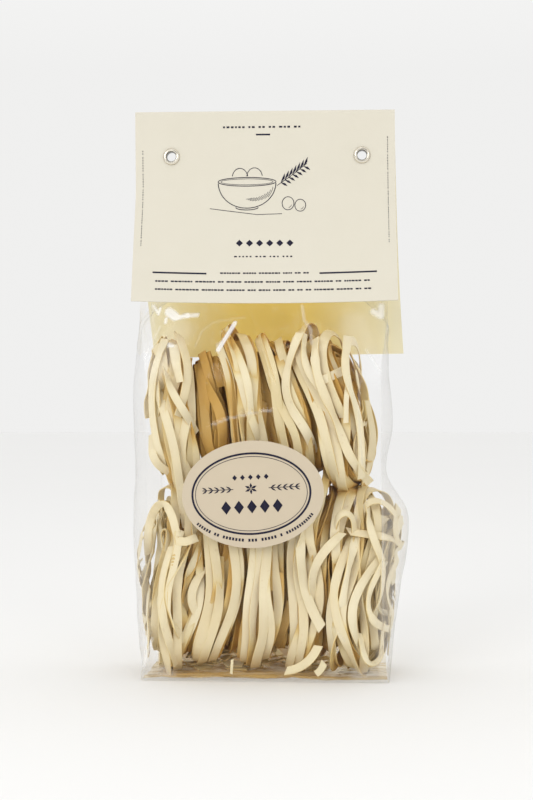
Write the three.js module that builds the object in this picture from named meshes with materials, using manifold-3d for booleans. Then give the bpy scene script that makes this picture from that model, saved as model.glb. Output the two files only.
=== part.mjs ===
// A retail bag of dried ribbon-pasta nests.
//
// A clear film bag with side gussets stands on its folded flat base. Two tiers of pasta nests fill
// it and press the film out. Above the pasta the bag is drawn flat, its gussets tuck in, and a
// folded card straddles the flat top. Two metal eyelets go through card and film. An oval label is
// stuck on the front. The bag is one solid here: the film's outer form, with what it holds.
//
// Millimetres, +Z up. The origin is on the base, under the middle of the bag. The front faces -Y.

import * as THREE from "three";
import { mergeVertices } from "three/addons/utils/BufferGeometryUtils.js";
import Module from "manifold-3d";

const wasm = await Module();
wasm.setup();

// ---------------------------------------------------------------- driving sizes

const TOUCH_GAP = 0.3; // between neighbours that touch

// Film bag: the front panel is 121 mm wide from crease to crease, each gusset panel 60 mm deep.
const PANEL_WIDTH = 121;
const GUSSET_DEPTH = 60;
const FILM_TOP = 270; // the cut top edge, hidden in the card
const FLAT_THICKNESS = 1.0; // pressed layers of film at the top
const PINCH_HEIGHT = 240; // where the sloping shoulders would meet
const SHOULDER_SLOPE = 0.353; // half depth gained for each millimetre down
const FILL_HEIGHT = 168; // top of the pasta

const CREASE_PULL = 3.5; // how far the full bag draws its creases in, each side
const FRONT_BULGE = 4; // how far the wide panels swell

// How far each gusset panel swells past its creases, by height. The waist at 97 is where the two
// tiers of nests meet. A nest lying askew pushes the right gusset out below it.
const SWELL_HEIGHTS = [0, 16, 45, 66, 82, 97, 125, 145, 165, 185];
const LEFT_SWELLS = [0, 6.5, 9, 10, 10, 9, 9.5, 9.5, 5, 0];
const RIGHT_SWELLS = [0, 4.5, 9.5, 13, 12.5, 3.5, 6, 4.5, 2, 0];

// Nests show through the film as shallow upright ribs.
const TIERS = [
  { middle: 44, spread: 19, pitch: 24.5, shift: -5 },
  { middle: 133, spread: 18, pitch: 26, shift: 10.5 },
];
const RIB_HEIGHT = 1.1;

// Header card: one sheet folded over the flat top. Lengths run from the fold, leans are from the
// upright, flares are added at the corners, drift is how far a panel's end sits to the right, and
// skew how much higher its right corner is cut than its left.
const CARD_WIDTH = 130;
const CARD_TOP = 280.5;
const CARD_THICKNESS = 0.5;
const CARD_PANELS = {
  front: { face: -1, length: 101.5, lean: 20.2, flare: 3, drift: 0.6, skew: 0 },
  back: { face: 1, length: 128, lean: 21.8, flare: 0, drift: 4.4, skew: 2.2 },
};
const BEND_LENGTH = 20; // over which the upright card bends into its lean

// The filled bag leans a little to the left, by this much at the card's fold.
const TOP_SHIFT = -2;

// Eyelets.
const EYELET_PLACES = { eyelet_left: -48.7, eyelet_right: 46.7 };
const EYELET_HEIGHT = 258;
const EYELET_BORE = 2.35;
const EYELET_BARREL = 2.7;
const EYELET_FLANGE = 4.15;
const EYELET_BACK_FLANGE = 3.7;
const EYELET_DOME = 0.95;

// Oval label.
const LABEL_WIDTH = 68.3;
const LABEL_HEIGHT = 51.5;
const LABEL_THICKNESS = 0.3;
const LABEL_CENTRE = new THREE.Vector2(-5.5, 90.8);
const LABEL_TILT = THREE.MathUtils.degToRad(3);

// ---------------------------------------------------------------- small tools

const { smoothstep } = THREE.MathUtils;
const softRamp = (x, softness) => softness * Math.log1p(Math.exp(x / softness));
const softLeast = (a, b, softness) => a - softRamp(a - b, softness);
const bell = (x, middle, spread) => Math.exp(-(((x - middle) / spread) ** 2));

// A closed three.js geometry as a manifold-3d solid, and back.
function solidOf(geometry) {
  const bare = geometry.clone();
  bare.deleteAttribute("normal");
  bare.deleteAttribute("uv");
  const merged = mergeVertices(bare, 1e-4);
  return new wasm.Manifold(
    new wasm.Mesh({
      numProp: 3,
      vertProperties: merged.attributes.position.array,
      triVerts: new Uint32Array(merged.index.array),
    }),
  );
}

function geometryOf(solid) {
  const mesh = solid.getMesh();
  return new THREE.BufferGeometry()
    .setAttribute("position", new THREE.BufferAttribute(mesh.vertProperties, 3))
    .setIndex(new THREE.BufferAttribute(mesh.triVerts, 1));
}

// A solid through a stack of closed loops, each anticlockwise from above, with a fan at each end.
function loft(loops) {
  const count = loops[0].length;
  const points = loops.flat();
  const faces = [];
  for (let k = 0; k + 1 < loops.length; k++) {
    for (let i = 0; i < count; i++) {
      const here = k * count + i;
      const next = k * count + ((i + 1) % count);
      faces.push(here, next, next + count, here, next + count, here + count);
    }
  }
  const ends = [
    { loop: loops[0], first: 0, turned: true },
    { loop: loops.at(-1), first: (loops.length - 1) * count, turned: false },
  ];
  for (const { loop, first, turned } of ends) {
    const middle = points.length;
    points.push(new THREE.Vector3(0, 0, loop[0].z));
    for (let i = 0; i < count; i++) {
      const edge = [first + i, first + ((i + 1) % count)];
      faces.push(middle, ...(turned ? edge.reverse() : edge));
    }
  }
  return new THREE.BufferGeometry().setFromPoints(points).setIndex(faces);
}

// A thin closed sheet: a flat geometry's vertices (u, v), placed once for each of its two faces,
// and the open edges joined. place(u, v, side) has side 0 on the face that looks outward.
function sheet(flat, place) {
  flat.deleteAttribute("normal");
  flat.deleteAttribute("uv");
  const merged = mergeVertices(flat, 1e-4);
  const { position } = merged.attributes;
  const corners = [];
  for (const side of [0, 1]) {
    for (let i = 0; i < position.count; i++) {
      corners.push(place(position.getX(i), position.getY(i), side));
    }
  }
  const faces = [];
  const open = new Map();
  for (let i = 0; i < merged.index.count; i += 3) {
    const face = [0, 1, 2].map((k) => merged.index.getX(i + k));
    if (new Set(face).size < 3) continue;
    faces.push(...face, ...face.map((v) => v + position.count).reverse());
    face.forEach((a, k) => {
      const b = face[(k + 1) % 3];
      if (!open.delete(`${b},${a}`)) open.set(`${a},${b}`, [a, b]);
    });
  }
  for (const [a, b] of open.values()) {
    faces.push(b, a, a + position.count, b, a + position.count, b + position.count);
  }
  return new THREE.BufferGeometry().setFromPoints(corners).setIndex(faces);
}

// ---------------------------------------------------------------- the film bag

const leanAt = (z) => (TOP_SHIFT * z) / CARD_TOP;

// Half the depth between the creases: the gusset's depth low down, then the sloping shoulders.
function halfDepth(z) {
  const shoulder = FLAT_THICKNESS / 2 + SHOULDER_SLOPE * softRamp(PINCH_HEIGHT - z, 2);
  return softLeast(GUSSET_DEPTH / 2, shoulder, 1.5);
}

// 1 where the pasta presses the film, fading to 0 at the base and above the pasta.
function pressed(z) {
  return smoothstep(z, -4, 26) * (1 - smoothstep(z, FILL_HEIGHT - 24, FILL_HEIGHT + 14));
}

function halfWidth(z) {
  return PANEL_WIDTH / 2 - CREASE_PULL * pressed(z);
}

// How far the wide panels stand out past the creases, at x from the bag's middle line.
function panelSwell(x, z) {
  const across = Math.min(1, Math.abs(x) / halfWidth(z));
  const pillow = FRONT_BULGE * pressed(z) * (1 - across ** 4);
  const ribs = TIERS.reduce((sum, tier) => {
    const wave = Math.cos((2 * Math.PI * (x - tier.shift)) / tier.pitch);
    return sum + wave * bell(z, tier.middle, tier.spread);
  }, 0);
  return pillow + RIB_HEIGHT * ribs * (1 - across ** 2);
}

const swellCurves = {
  left: new THREE.CubicInterpolant(SWELL_HEIGHTS, LEFT_SWELLS, 1),
  right: new THREE.CubicInterpolant(SWELL_HEIGHTS, RIGHT_SWELLS, 1),
};

// How far a gusset panel stands out past its creases (positive), or tucks in (negative), at t from
// -1 on one crease to 1 on the other. A tucked gusset is a V whose sides keep their length.
function gussetSwell(side, t, z) {
  const swell = z < SWELL_HEIGHTS.at(-1) ? swellCurves[side].evaluate(z)[0] : 0;
  const out = swell * (1 - t * t);
  const folded = Math.sqrt(Math.max(0, (GUSSET_DEPTH / 2) ** 2 - halfDepth(z) ** 2));
  const begun = smoothstep(z, FILL_HEIGHT + 2, FILL_HEIGHT + 32);
  const pressedFlat = smoothstep(z, PINCH_HEIGHT - 18, PINCH_HEIGHT - 4);
  return out - folded * begun * (1 - pressedFlat) * (1 - Math.abs(t));
}

// One level of the bag, anticlockwise from above: front, right gusset, back, left gusset.
function bagLoop(z, inset = 0) {
  const wideSteps = 26;
  const gussetSteps = 8;
  const w = halfWidth(z) - inset;
  const d = halfDepth(z) - inset;
  const loop = [];
  for (const [face, gusset] of [[-1, "right"], [1, "left"]]) {
    for (let i = 0; i < wideSteps; i++) {
      const x = -face * w * ((2 * i) / wideSteps - 1);
      loop.push(new THREE.Vector3(leanAt(z) + x, face * (d + panelSwell(x, z)), z));
    }
    for (let i = 0; i < gussetSteps; i++) {
      const t = (2 * i) / gussetSteps - 1;
      const x = -face * (w + gussetSwell(gusset, t, z));
      loop.push(new THREE.Vector3(leanAt(z) + x, -face * d * t, z));
    }
  }
  return loop;
}

function eyeletHoles(solid) {
  const radius = EYELET_BARREL + TOUCH_GAP;
  return Object.values(EYELET_PLACES).reduce((cut, x) => {
    const drill = new THREE.CylinderGeometry(radius, radius, 12, 20);
    drill.translate(x, 0, EYELET_HEIGHT);
    return cut.subtract(solidOf(drill));
  }, solid);
}

function bag() {
  const levels = [0, 1.2, 5, 10, 16, 23];
  for (let z = 31; z < FILL_HEIGHT + 8; z += 8) levels.push(z);
  for (let z = FILL_HEIGHT + 8; z < PINCH_HEIGHT + 8; z += 6) levels.push(z);
  levels.push(PINCH_HEIGHT + 12, FILM_TOP);
  const loops = levels.map((z) => bagLoop(z, z === 0 ? 1 : 0));
  return geometryOf(eyeletHoles(solidOf(loft(loops))));
}

// ---------------------------------------------------------------- the header card

// A point of a card panel: u across it, along its length from the fold, offset outwards from its
// middle. It goes round the fold, runs upright past the eyelets, and bends into its lean.
function cardPoint(panel, u, along, offset) {
  const foldRadius = FLAT_THICKNESS / 2 + TOUCH_GAP + CARD_THICKNESS / 2;
  const quarter = (foldRadius * Math.PI) / 2;
  const bendMiddle = CARD_TOP - PINCH_HEIGHT - foldRadius + quarter;
  const corner = ((2 * u) / CARD_WIDTH) ** 2;
  const lean = THREE.MathUtils.degToRad(panel.lean + panel.flare * corner);
  const turned = Math.min(along, quarter) / foldRadius;
  let angle = Math.PI / 2 - turned; // of the card's run, from straight down
  let out = foldRadius * Math.sin(turned);
  let z = CARD_TOP - foldRadius + foldRadius * Math.cos(turned);
  const steps = 24;
  const stretch = Math.max(0, along - quarter) / steps;
  for (let i = 0; i < steps; i++) {
    const reached = quarter + (i + 0.5) * stretch;
    const bent = smoothstep(reached, bendMiddle - BEND_LENGTH / 2, bendMiddle + BEND_LENGTH / 2);
    angle = lean * bent;
    out += Math.sin(angle) * stretch;
    z -= Math.cos(angle) * stretch;
  }
  out += offset * Math.cos(angle);
  z += offset * Math.sin(angle);
  const x = leanAt(z) + u + panel.drift * (along / panel.length) ** 2;
  return new THREE.Vector3(x, panel.face * out, z);
}

function headerCard() {
  const columns = 10;
  const rows = 40;
  const flat = new THREE.PlaneGeometry(CARD_WIDTH, 2, columns, rows);
  const place = (u, v, side) => {
    const panel = v < 0 ? CARD_PANELS.front : CARD_PANELS.back;
    // Rows crowd towards the fold.
    const along = v * v * (panel.length - (panel.skew * u) / CARD_WIDTH);
    return cardPoint(panel, u, along, (side ? -0.5 : 0.5) * CARD_THICKNESS);
  };
  return geometryOf(eyeletHoles(solidOf(sheet(flat, place))));
}

// ---------------------------------------------------------------- eyelets and label

// An eyelet's section: a domed front flange, the barrel through the layers, a rolled back flange.
function eyelet() {
  const seat = FLAT_THICKNESS / 2 + TOUCH_GAP + CARD_THICKNESS + TOUCH_GAP;
  const section = [
    [EYELET_BORE, -seat - 0.4 * EYELET_DOME],
    [EYELET_BORE + 0.3, -seat - 0.85 * EYELET_DOME],
    [EYELET_BORE + 0.9, -seat - EYELET_DOME],
    [EYELET_FLANGE - 0.4, -seat - 0.65 * EYELET_DOME],
    [EYELET_FLANGE, -seat - 0.2],
    [EYELET_FLANGE - 0.1, -seat],
    [EYELET_BARREL, -seat],
    [EYELET_BARREL, seat],
    [EYELET_BACK_FLANGE, seat],
    [EYELET_BACK_FLANGE, seat + 0.35],
    [EYELET_BACK_FLANGE - 0.6, seat + 0.7],
    [EYELET_BORE + 0.2, seat + 0.5],
    [EYELET_BORE, seat + 0.1],
  ];
  const profile = section.map(([radius, along]) => new THREE.Vector2(radius, along));
  return new THREE.LatheGeometry([...profile, profile[0]], 24);
}

function label() {
  const flat = new THREE.RingGeometry(0, 1, 48, 6);
  return sheet(flat, (u, v, side) => {
    const across = (u * LABEL_WIDTH) / 2;
    const up = (v * LABEL_HEIGHT) / 2;
    const x = LABEL_CENTRE.x + across * Math.cos(LABEL_TILT) - up * Math.sin(LABEL_TILT);
    const z = LABEL_CENTRE.y + across * Math.sin(LABEL_TILT) + up * Math.cos(LABEL_TILT);
    const standOff = TOUCH_GAP + (side ? 0 : LABEL_THICKNESS);
    const out = halfDepth(z) + panelSwell(x - leanAt(z), z) + standOff;
    return new THREE.Vector3(x, -out, z);
  });
}

// ---------------------------------------------------------------- the pack

const FINISHES = {
  film: { color: 0xeee2c2, roughness: 0.15, metalness: 0 },
  card: { color: 0xece6d5, roughness: 0.8, metalness: 0 },
  label: { color: 0xd6c7aa, roughness: 0.6, metalness: 0 },
  metal: { color: 0xd2d2cf, roughness: 0.25, metalness: 1 },
};

function piece(name, geometry, finish) {
  const made = new THREE.Mesh(geometry, new THREE.MeshStandardMaterial(FINISHES[finish]));
  made.name = name;
  return made;
}

const pack = new THREE.Group();
pack.add(piece("bag", bag(), "film"));
pack.add(piece("header_card", headerCard(), "card"));
pack.add(piece("label", label(), "label"));
for (const [name, x] of Object.entries(EYELET_PLACES)) {
  const made = piece(name, eyelet(), "metal");
  made.position.set(x, 0, EYELET_HEIGHT);
  pack.add(made);
}

export default pack;
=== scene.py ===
import math

import bmesh
import bpy
import numpy as np
from mathutils import Matrix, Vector
from mathutils.bvhtree import BVHTree


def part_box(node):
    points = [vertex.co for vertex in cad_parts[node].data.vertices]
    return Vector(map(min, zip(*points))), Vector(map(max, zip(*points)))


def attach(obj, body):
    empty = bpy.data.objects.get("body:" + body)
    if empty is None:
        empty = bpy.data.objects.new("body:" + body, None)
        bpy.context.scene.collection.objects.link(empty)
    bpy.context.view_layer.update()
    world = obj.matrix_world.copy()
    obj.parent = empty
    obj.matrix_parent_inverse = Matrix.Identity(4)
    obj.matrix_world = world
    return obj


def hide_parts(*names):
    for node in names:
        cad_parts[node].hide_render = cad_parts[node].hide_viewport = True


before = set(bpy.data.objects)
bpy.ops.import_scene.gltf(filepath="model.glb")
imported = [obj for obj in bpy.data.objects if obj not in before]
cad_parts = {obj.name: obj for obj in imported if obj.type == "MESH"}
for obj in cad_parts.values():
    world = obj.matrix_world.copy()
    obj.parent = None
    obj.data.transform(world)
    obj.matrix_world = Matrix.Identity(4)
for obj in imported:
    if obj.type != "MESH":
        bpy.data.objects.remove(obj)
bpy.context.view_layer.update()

# ---------------------------------------------------------------- camera
# A long lens, 0.8 m off and level with the middle of the pack, a few degrees round to its right. It
# stands the pack upright in a tall frame, and its sides hardly show.

CAMERA_AZIMUTH = math.radians(3.5)
CAMERA_DISTANCE = 0.8
CAMERA_HEIGHT = 0.136
AIM_X = -0.001
LENS = 71.9

lens = bpy.data.cameras.new("camera")
lens.lens = LENS
lens.sensor_width = 36
camera = bpy.data.objects.new("camera", lens)
camera.location = (
    AIM_X + CAMERA_DISTANCE * math.sin(CAMERA_AZIMUTH),
    -CAMERA_DISTANCE * math.cos(CAMERA_AZIMUTH),
    CAMERA_HEIGHT,
)
camera.rotation_euler = (math.pi / 2, 0, CAMERA_AZIMUTH)
bpy.context.scene.collection.objects.link(camera)
bpy.context.scene.camera = camera

# ---------------------------------------------------------------- clear film bag
# A side-gusset bag of clear polypropylene film, welded down the back and folded into a flat block
# base. Filled, its wide panels pillow, its gussets swell, and its shoulders slope up to a flat top.
# The film has taken creases from handling, and the pasta inside presses shallow ribs into it. White
# patches on it are whitened creases, painted glints and painted reflection haze.

MM = 0.001
PANEL_WIDTH = 121.0
GUSSET_DEPTH = 60.0
FILM_TOP = 1000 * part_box("bag")[1][2]
FLAT_THICKNESS = 1.0
PINCH_HEIGHT = 240.0
SHOULDER_SLOPE = 0.353
FILL_HEIGHT = 168.0
CREASE_PULL = 3.5
FRONT_BULGE = 4.0
SWELL_HEIGHTS = [0, 16, 45, 66, 82, 97, 125, 145, 165, 185, 300]
GUSSET_SWELLS = {
    "left": [0, 6.5, 9, 10, 10, 9, 9.5, 9.5, 5, 0, 0],
    "right": [0, 4.5, 9.5, 13, 12.5, 3.5, 6, 4.5, 2, 0, 0],
}
RIBS = [  # where each tier of nests presses through the film
    dict(middle=44, spread=19, pitch=24.5, shift=-5),
    dict(middle=133, spread=18, pitch=26, shift=10.5),
]
RIB_HEIGHT = 1.1
CARD_TOP = 1000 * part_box("header_card")[1][2]
TOP_SHIFT = -2.0

# Along each crease the film is whitened. The short bright ones are painted glints where the film would
# catch the lamps, and the broad ones of height 0 are painted reflection haze.
FILM_CREASES = [  # on the front panel: (x, z) along each, then its height, half width and whiteness
    ([(-13.6, 173.4), (-21.4, 160.0)], 0.7, 0.9, 1.3),
    ([(-46.0, 179.0), (-43.4, 177.0)], 0.4, 2.1, 1.4),
    ([(-42.4, 176.3), (-37.0, 177.2)], 0.3, 1.0, 1.2),
    ([(-37.0, 177.2), (-31.8, 177.4)], 0.3, 0.7, 1.0),
    ([(-47.4, 176.0), (-47.6, 173.6)], 0.2, 0.7, 0.9),
    ([(-53.8, 182.0), (-51.2, 178.2), (-50.4, 181.0)], 0.3, 0.7, 1.0),
    ([(-45.4, 162.6), (-43.6, 162.2)], 0.2, 0.9, 0.8),
    ([(57.4, 181.6), (57.2, 176.6), (53.6, 178.8)], 0.3, 1.6, 0.7),
    ([(19.0, 182.0), (20.0, 174.6), (23.2, 170.4), (23.8, 163.0)], 0.4, 0.8, 0.3),
    ([(-24.2, 124.0), (-16.0, 127.2), (-6.0, 129.6), (5.0, 131.2)], 0.25, 0.5, 0.3),
    ([(-32.4, 162.4), (-29.5, 169.6), (-24.0, 173.8), (-9.4, 176.3)], 0.3, 0.6, 0.12),
    ([(46.6, 144.0), (46.2, 128.0), (47.7, 106.0)], 0.3, 0.6, 0.18),
    ([(43.9, 90.0), (44.6, 79.0)], 0.3, 0.7, 0.2),
    ([(33.0, 27.0), (38.5, 20.5)], 0.3, 0.7, 0.15),
    ([(-54.4, 20.4), (-58.8, 7.0)], 0.5, 0.7, 0.4),
    ([(50.0, 160.0), (58.5, 146.5)], 0.5, 0.6, 0.25),
    ([(-50.0, 172.0), (-57.5, 156.0)], 0.5, 0.6, 0.2),
    ([(64.0, 88.0), (66.0, 66.0), (60.0, 30.0)], 0.0, 7.0, 0.22),
    ([(-57.0, 176.0), (-60.0, 110.0), (-58.0, 16.0)], 0.0, 4.0, 0.16),
    ([(-40.0, 170.0), (-52.0, 150.0)], 0.0, 6.0, 0.16),
    ([(44.0, 172.0), (52.0, 150.0)], 0.0, 7.0, 0.16),
    ([(-62.0, 24.0), (-60.0, 4.0), (-48.0, 2.0)], 0.0, 5.0, 0.25),
    ([(60.0, 24.0), (58.0, 4.0), (46.0, 2.0)], 0.0, 5.0, 0.25),
]

# painted reflection haze over each gusset, heavier on the right
GUSSET_PAINTED_HAZE = {"left": 0.14, "right": 0.26}
GUSSET_SLACK = 1.6
SEAM_WHITE = 0.12
EDGE_ROLL = 1.0  # how much of the bottom edge is rounded


def ease(x, low, high):
    t = np.clip((np.asarray(x, float) - low) / (high - low), 0, 1)
    return t * t * (3 - 2 * t)


def soft_ramp(x, softness):
    return softness * np.logaddexp(0, np.asarray(x, float) / softness)


def bell(x, middle, spread):
    return np.exp(-(((x - middle) / spread) ** 2))


def through(x, at, values):
    """A smooth curve through the values, one cubic between each two places."""
    at, values = np.asarray(at, float), np.asarray(values, float)
    slopes = np.gradient(values, at)
    k = np.clip(np.searchsorted(at, x, side="right") - 1, 0, len(at) - 2)
    span = at[k + 1] - at[k]
    t = (np.clip(x, at[0], at[-1]) - at[k]) / span
    rise = (1 + 2 * t) * (1 - t) ** 2 * values[k] + t * t * (3 - 2 * t) * values[k + 1]
    return rise + span * (t * (1 - t) ** 2 * slopes[k] + t * t * (t - 1) * slopes[k + 1])


def lean_at(z):
    return TOP_SHIFT * z / CARD_TOP


def half_depth(z):
    shoulder = FLAT_THICKNESS / 2 + SHOULDER_SLOPE * soft_ramp(PINCH_HEIGHT - z, 2)
    return shoulder - soft_ramp(shoulder - GUSSET_DEPTH / 2, 1.5)


def pressed(z):
    return ease(z, -4, 26) * (1 - ease(z, FILL_HEIGHT - 24, FILL_HEIGHT + 14))


def half_width(z):
    return PANEL_WIDTH / 2 - CREASE_PULL * pressed(z)


def panel_swell(x, z):
    across = np.minimum(1, abs(x) / half_width(z))
    ribs = sum(
        np.cos(2 * math.pi * (x - rib["shift"]) / rib["pitch"]) * bell(z, rib["middle"], rib["spread"])
        for rib in RIBS
    )
    pillow = FRONT_BULGE * pressed(z) * (1 - across**4)
    return pillow + RIB_HEIGHT * ribs * (1 - across**2)


def gusset_swell(side, t, z):
    swell = through(z, SWELL_HEIGHTS, GUSSET_SWELLS[side]) * (1 - t * t)
    folded = np.sqrt(np.maximum(0, (GUSSET_DEPTH / 2) ** 2 - half_depth(z) ** 2))
    begun = ease(z, FILL_HEIGHT + 2, FILL_HEIGHT + 32)
    flat = ease(z, PINCH_HEIGHT - 18, PINCH_HEIGHT - 4)
    return swell - folded * begun * (1 - flat) * (1 - abs(t))


def from_line(x, z, line):
    """Distance from a polyline, and which side of it, for arrays of points."""
    nearest = np.full(np.shape(x), 1e3)
    side = np.zeros(np.shape(x))
    for (x0, z0), (x1, z1) in zip(line, line[1:]):
        dx, dz = x1 - x0, z1 - z0
        t = np.clip(((x - x0) * dx + (z - z0) * dz) / (dx * dx + dz * dz), 0, 1)
        away = np.hypot(x - x0 - t * dx, z - z0 - t * dz)
        turn = np.sign((x - x0) * dz - (z - z0) * dx)
        side = np.where(away < nearest, turn, side)
        nearest = np.minimum(nearest, away)
    return nearest, side


def crinkle(x, z, seed, size):
    """Ridges with sharp crests, as film keeps after crumpling: about -0.5 to 1."""
    draw = np.random.default_rng(seed)
    waves = 0
    for _ in range(9):
        heading = draw.uniform(0, math.pi)
        length = size * draw.uniform(0.6, 1.6)
        phase = draw.uniform(0, 2 * math.pi)
        way = x * math.cos(heading) + z * math.sin(heading)
        waves = waves + np.cos(2 * math.pi * way / length + phase)
    return 0.7 - abs(waves) / 2.1


def crumple(x, z, seed, face=None):
    """How far the film stands off its even form, and how white its creases have gone, with painted glints
    and painted reflection haze on the front panel.
    """
    shoulder = bell(z, 172, 16) + 0.4 * bell(z, 4, 6)
    loose = 0.25 + 0.75 * np.minimum(1, shoulder)
    out = 0.30 * loose * crinkle(x, z, seed, 26) + 0.10 * loose * crinkle(x, z, seed + 1, 9)
    white = 0.10 * loose * np.clip(crinkle(x, z, seed, 26) - 0.45, 0, 1)
    for line, height, half, whiteness_and_glint in FILM_CREASES if face == "front" else []:
        away, side = from_line(x, z, line)
        out = out + height * np.exp(-((away / 1.1) ** 2)) + 0.35 * height * side * np.exp(-away / 5)
        white = white + whiteness_and_glint * np.exp(-((away / half) ** 4))
    return out, white


def piece(name, points, faces, material, slot, *nodes):
    """A smooth mesh, given in millimetres, that rides on the pack and replaces solids of it."""
    mesh = bpy.data.meshes.new(name)
    mesh.from_pydata((np.asarray(points, float) * MM).tolist(), [], [list(f) for f in faces])
    mesh.polygons.foreach_set("use_smooth", [True] * len(mesh.polygons))
    mesh.materials.append(material)
    made = bpy.data.objects.new(name, mesh)
    bpy.context.scene.collection.objects.link(made)
    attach(made, "root")
    if nodes:
        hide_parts(*nodes)
    return made


def paint(made, name, values):
    made.data.attributes.new(name, "FLOAT", "POINT").data.foreach_set("value", np.asarray(values, float))


def rings(count, around, closed_ends=True):
    """Faces of a skin over rings of points, anticlockwise as seen from the last one."""
    faces = []
    for k in range(count - 1):
        for i in range(around):
            j = (i + 1) % around
            faces.append((k * around + i, k * around + j, (k + 1) * around + j, (k + 1) * around + i))
    if closed_ends:
        faces.append(tuple(range(around - 1, -1, -1)))
        faces.append(tuple(range((count - 1) * around, count * around)))
    return faces


def finish_nodes(name, color, roughness):
    """A new material with a Principled shader, and short ways to add nodes and join them."""
    made = bpy.data.materials.new(name)
    made.use_nodes = True
    tree = made.node_tree
    shader = tree.nodes["Principled BSDF"]
    shader.inputs["Base Color"].default_value = (*color, 1)
    shader.inputs["Roughness"].default_value = roughness

    def add(kind, **values):
        node = tree.nodes.new(kind)
        for key, value in values.items():
            if hasattr(node, key):
                setattr(node, key, value)
            else:
                node.inputs[key.replace("_", " ")].default_value = value
        return node

    return made, shader, add, tree.links.new


# Whitened creases, painted glints and painted reflection haze: a white diffuse shader mixed into the
# clear film where the painted attribute says.
film, film_white_and_glints, add, join = finish_nodes("clear_film", (0.93, 0.93, 0.92), 0.45)
place = add("ShaderNodeTexCoord")
ripple = add("ShaderNodeTexNoise", Scale=70.0, Detail=3.0)
dent = add("ShaderNodeBump", Strength=0.12, Distance=0.0006)
facing = add("ShaderNodeLayerWeight", Blend=0.5)
grazing = add("ShaderNodeMath", operation="POWER")
grazing.inputs[1].default_value = 4.0
mirror_share = add("ShaderNodeMapRange")
mirror_share.inputs["To Min"].default_value = 0.012
mirror_share.inputs["To Max"].default_value = 0.5
tint = add("ShaderNodeMix", data_type="RGBA")
tint.inputs["A"].default_value = (1, 1, 1, 1)
tint.inputs["B"].default_value = (0.975, 0.972, 0.965, 1)
clear = add("ShaderNodeBsdfTransparent")
gloss = add("ShaderNodeBsdfAnisotropic", Roughness=0.09)
creases_and_glints = add("ShaderNodeAttribute", attribute_name="whitening_and_glints")
white_and_glint_share = add("ShaderNodeMapRange")
white_and_glint_share.inputs["To Min"].default_value = 0.001
white_and_glint_share.inputs["To Max"].default_value = 0.75
sheet = add("ShaderNodeMixShader")
with_white_and_glints = add("ShaderNodeMixShader")
join(place.outputs["Object"], ripple.inputs["Vector"])
join(ripple.outputs["Fac"], dent.inputs["Height"])
join(dent.outputs["Normal"], gloss.inputs["Normal"])
join(facing.outputs["Facing"], grazing.inputs[0])
join(grazing.outputs[0], mirror_share.inputs["Value"])
join(grazing.outputs[0], tint.inputs["Factor"])
join(tint.outputs["Result"], clear.inputs["Color"])
join(mirror_share.outputs[0], sheet.inputs[0])
join(clear.outputs[0], sheet.inputs[1])
join(gloss.outputs[0], sheet.inputs[2])
join(creases_and_glints.outputs["Fac"], white_and_glint_share.inputs["Value"])
join(white_and_glint_share.outputs[0], with_white_and_glints.inputs[0])
join(sheet.outputs[0], with_white_and_glints.inputs[1])
join(film_white_and_glints.outputs[0], with_white_and_glints.inputs[2])
join(with_white_and_glints.outputs[0], film.node_tree.nodes["Material Output"].inputs["Surface"])

coarse = 1
front_steps, back_steps, gusset_steps = 200 // coarse, 60 // coarse, 40 // coarse
levels = np.concatenate([[0, 0.35, 1.0, 1.9], np.linspace(3, FILM_TOP, 256 // coarse)])
skin, whitening_and_glints = [], []
for z in levels:
    inset = EDGE_ROLL * (1 - min(1, z / EDGE_ROLL)) ** 2
    w, d = half_width(z) - inset, half_depth(z) - inset
    steady = ease(z, 0, 3) * (1 - ease(z, PINCH_HEIGHT - 12, PINCH_HEIGHT))
    for face, side, steps in ((-1, "right", front_steps), (1, "left", back_steps)):
        x = -face * w * (2 * np.arange(steps) / steps - 1)
        off, white = crumple(x, z + 0 * x, 5 + face, "front" if face < 0 else "back")
        edge = 1 - (abs(x) / w) ** 6
        y = face * (d + panel_swell(x, z) + steady * edge * off)
        skin.append(np.stack([lean_at(z) + x, y, z + 0 * x], 1))
        whitening_and_glints.append(white * steady)
        t = 2 * np.arange(gusset_steps) / gusset_steps - 1
        off, white = crumple(30 * t, z + 0 * t, 25 + face)
        x = -face * (w + gusset_swell(side, t, z) + GUSSET_SLACK * steady * (1 - t**6) * off)
        skin.append(np.stack([lean_at(z) + x, -face * d * t, z + 0 * t], 1))
        seam = SEAM_WHITE * (abs(t) > 0.97)
        # whitened seams, and painted reflection haze over the gussets
        whitening_and_glints.append(white * steady + seam + GUSSET_PAINTED_HAZE[side] * bell(z, 60, 70))
skin = np.concatenate(skin)
film_faces = rings(len(levels), front_steps + back_steps + 2 * gusset_steps)
bag_film = piece("bag_film", skin, film_faces, film, "film", "bag")
paint(bag_film, "whitening_and_glints", np.concatenate(whitening_and_glints))

# ---------------------------------------------------------------- folded base of the bag
# The block base is closed by flaps of the same film, folded in over one another. They lie creased on
# the floor of the bag, and at a flat angle they mirror the dough above. Where the nests stand over them
# they are painted amber, as painted shade and painted reflection of the dough.

BASE_FOLDS = (118.0, 58.5)
BASE_PAINTED_SHADE = (0.10, 0.95)
FOLD_STEP = 0.8
FRONT_HEM, BACK_HEM = 1.6, 9.0
PAINTED_SHADE_MIDDLE = -9.0

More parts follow.
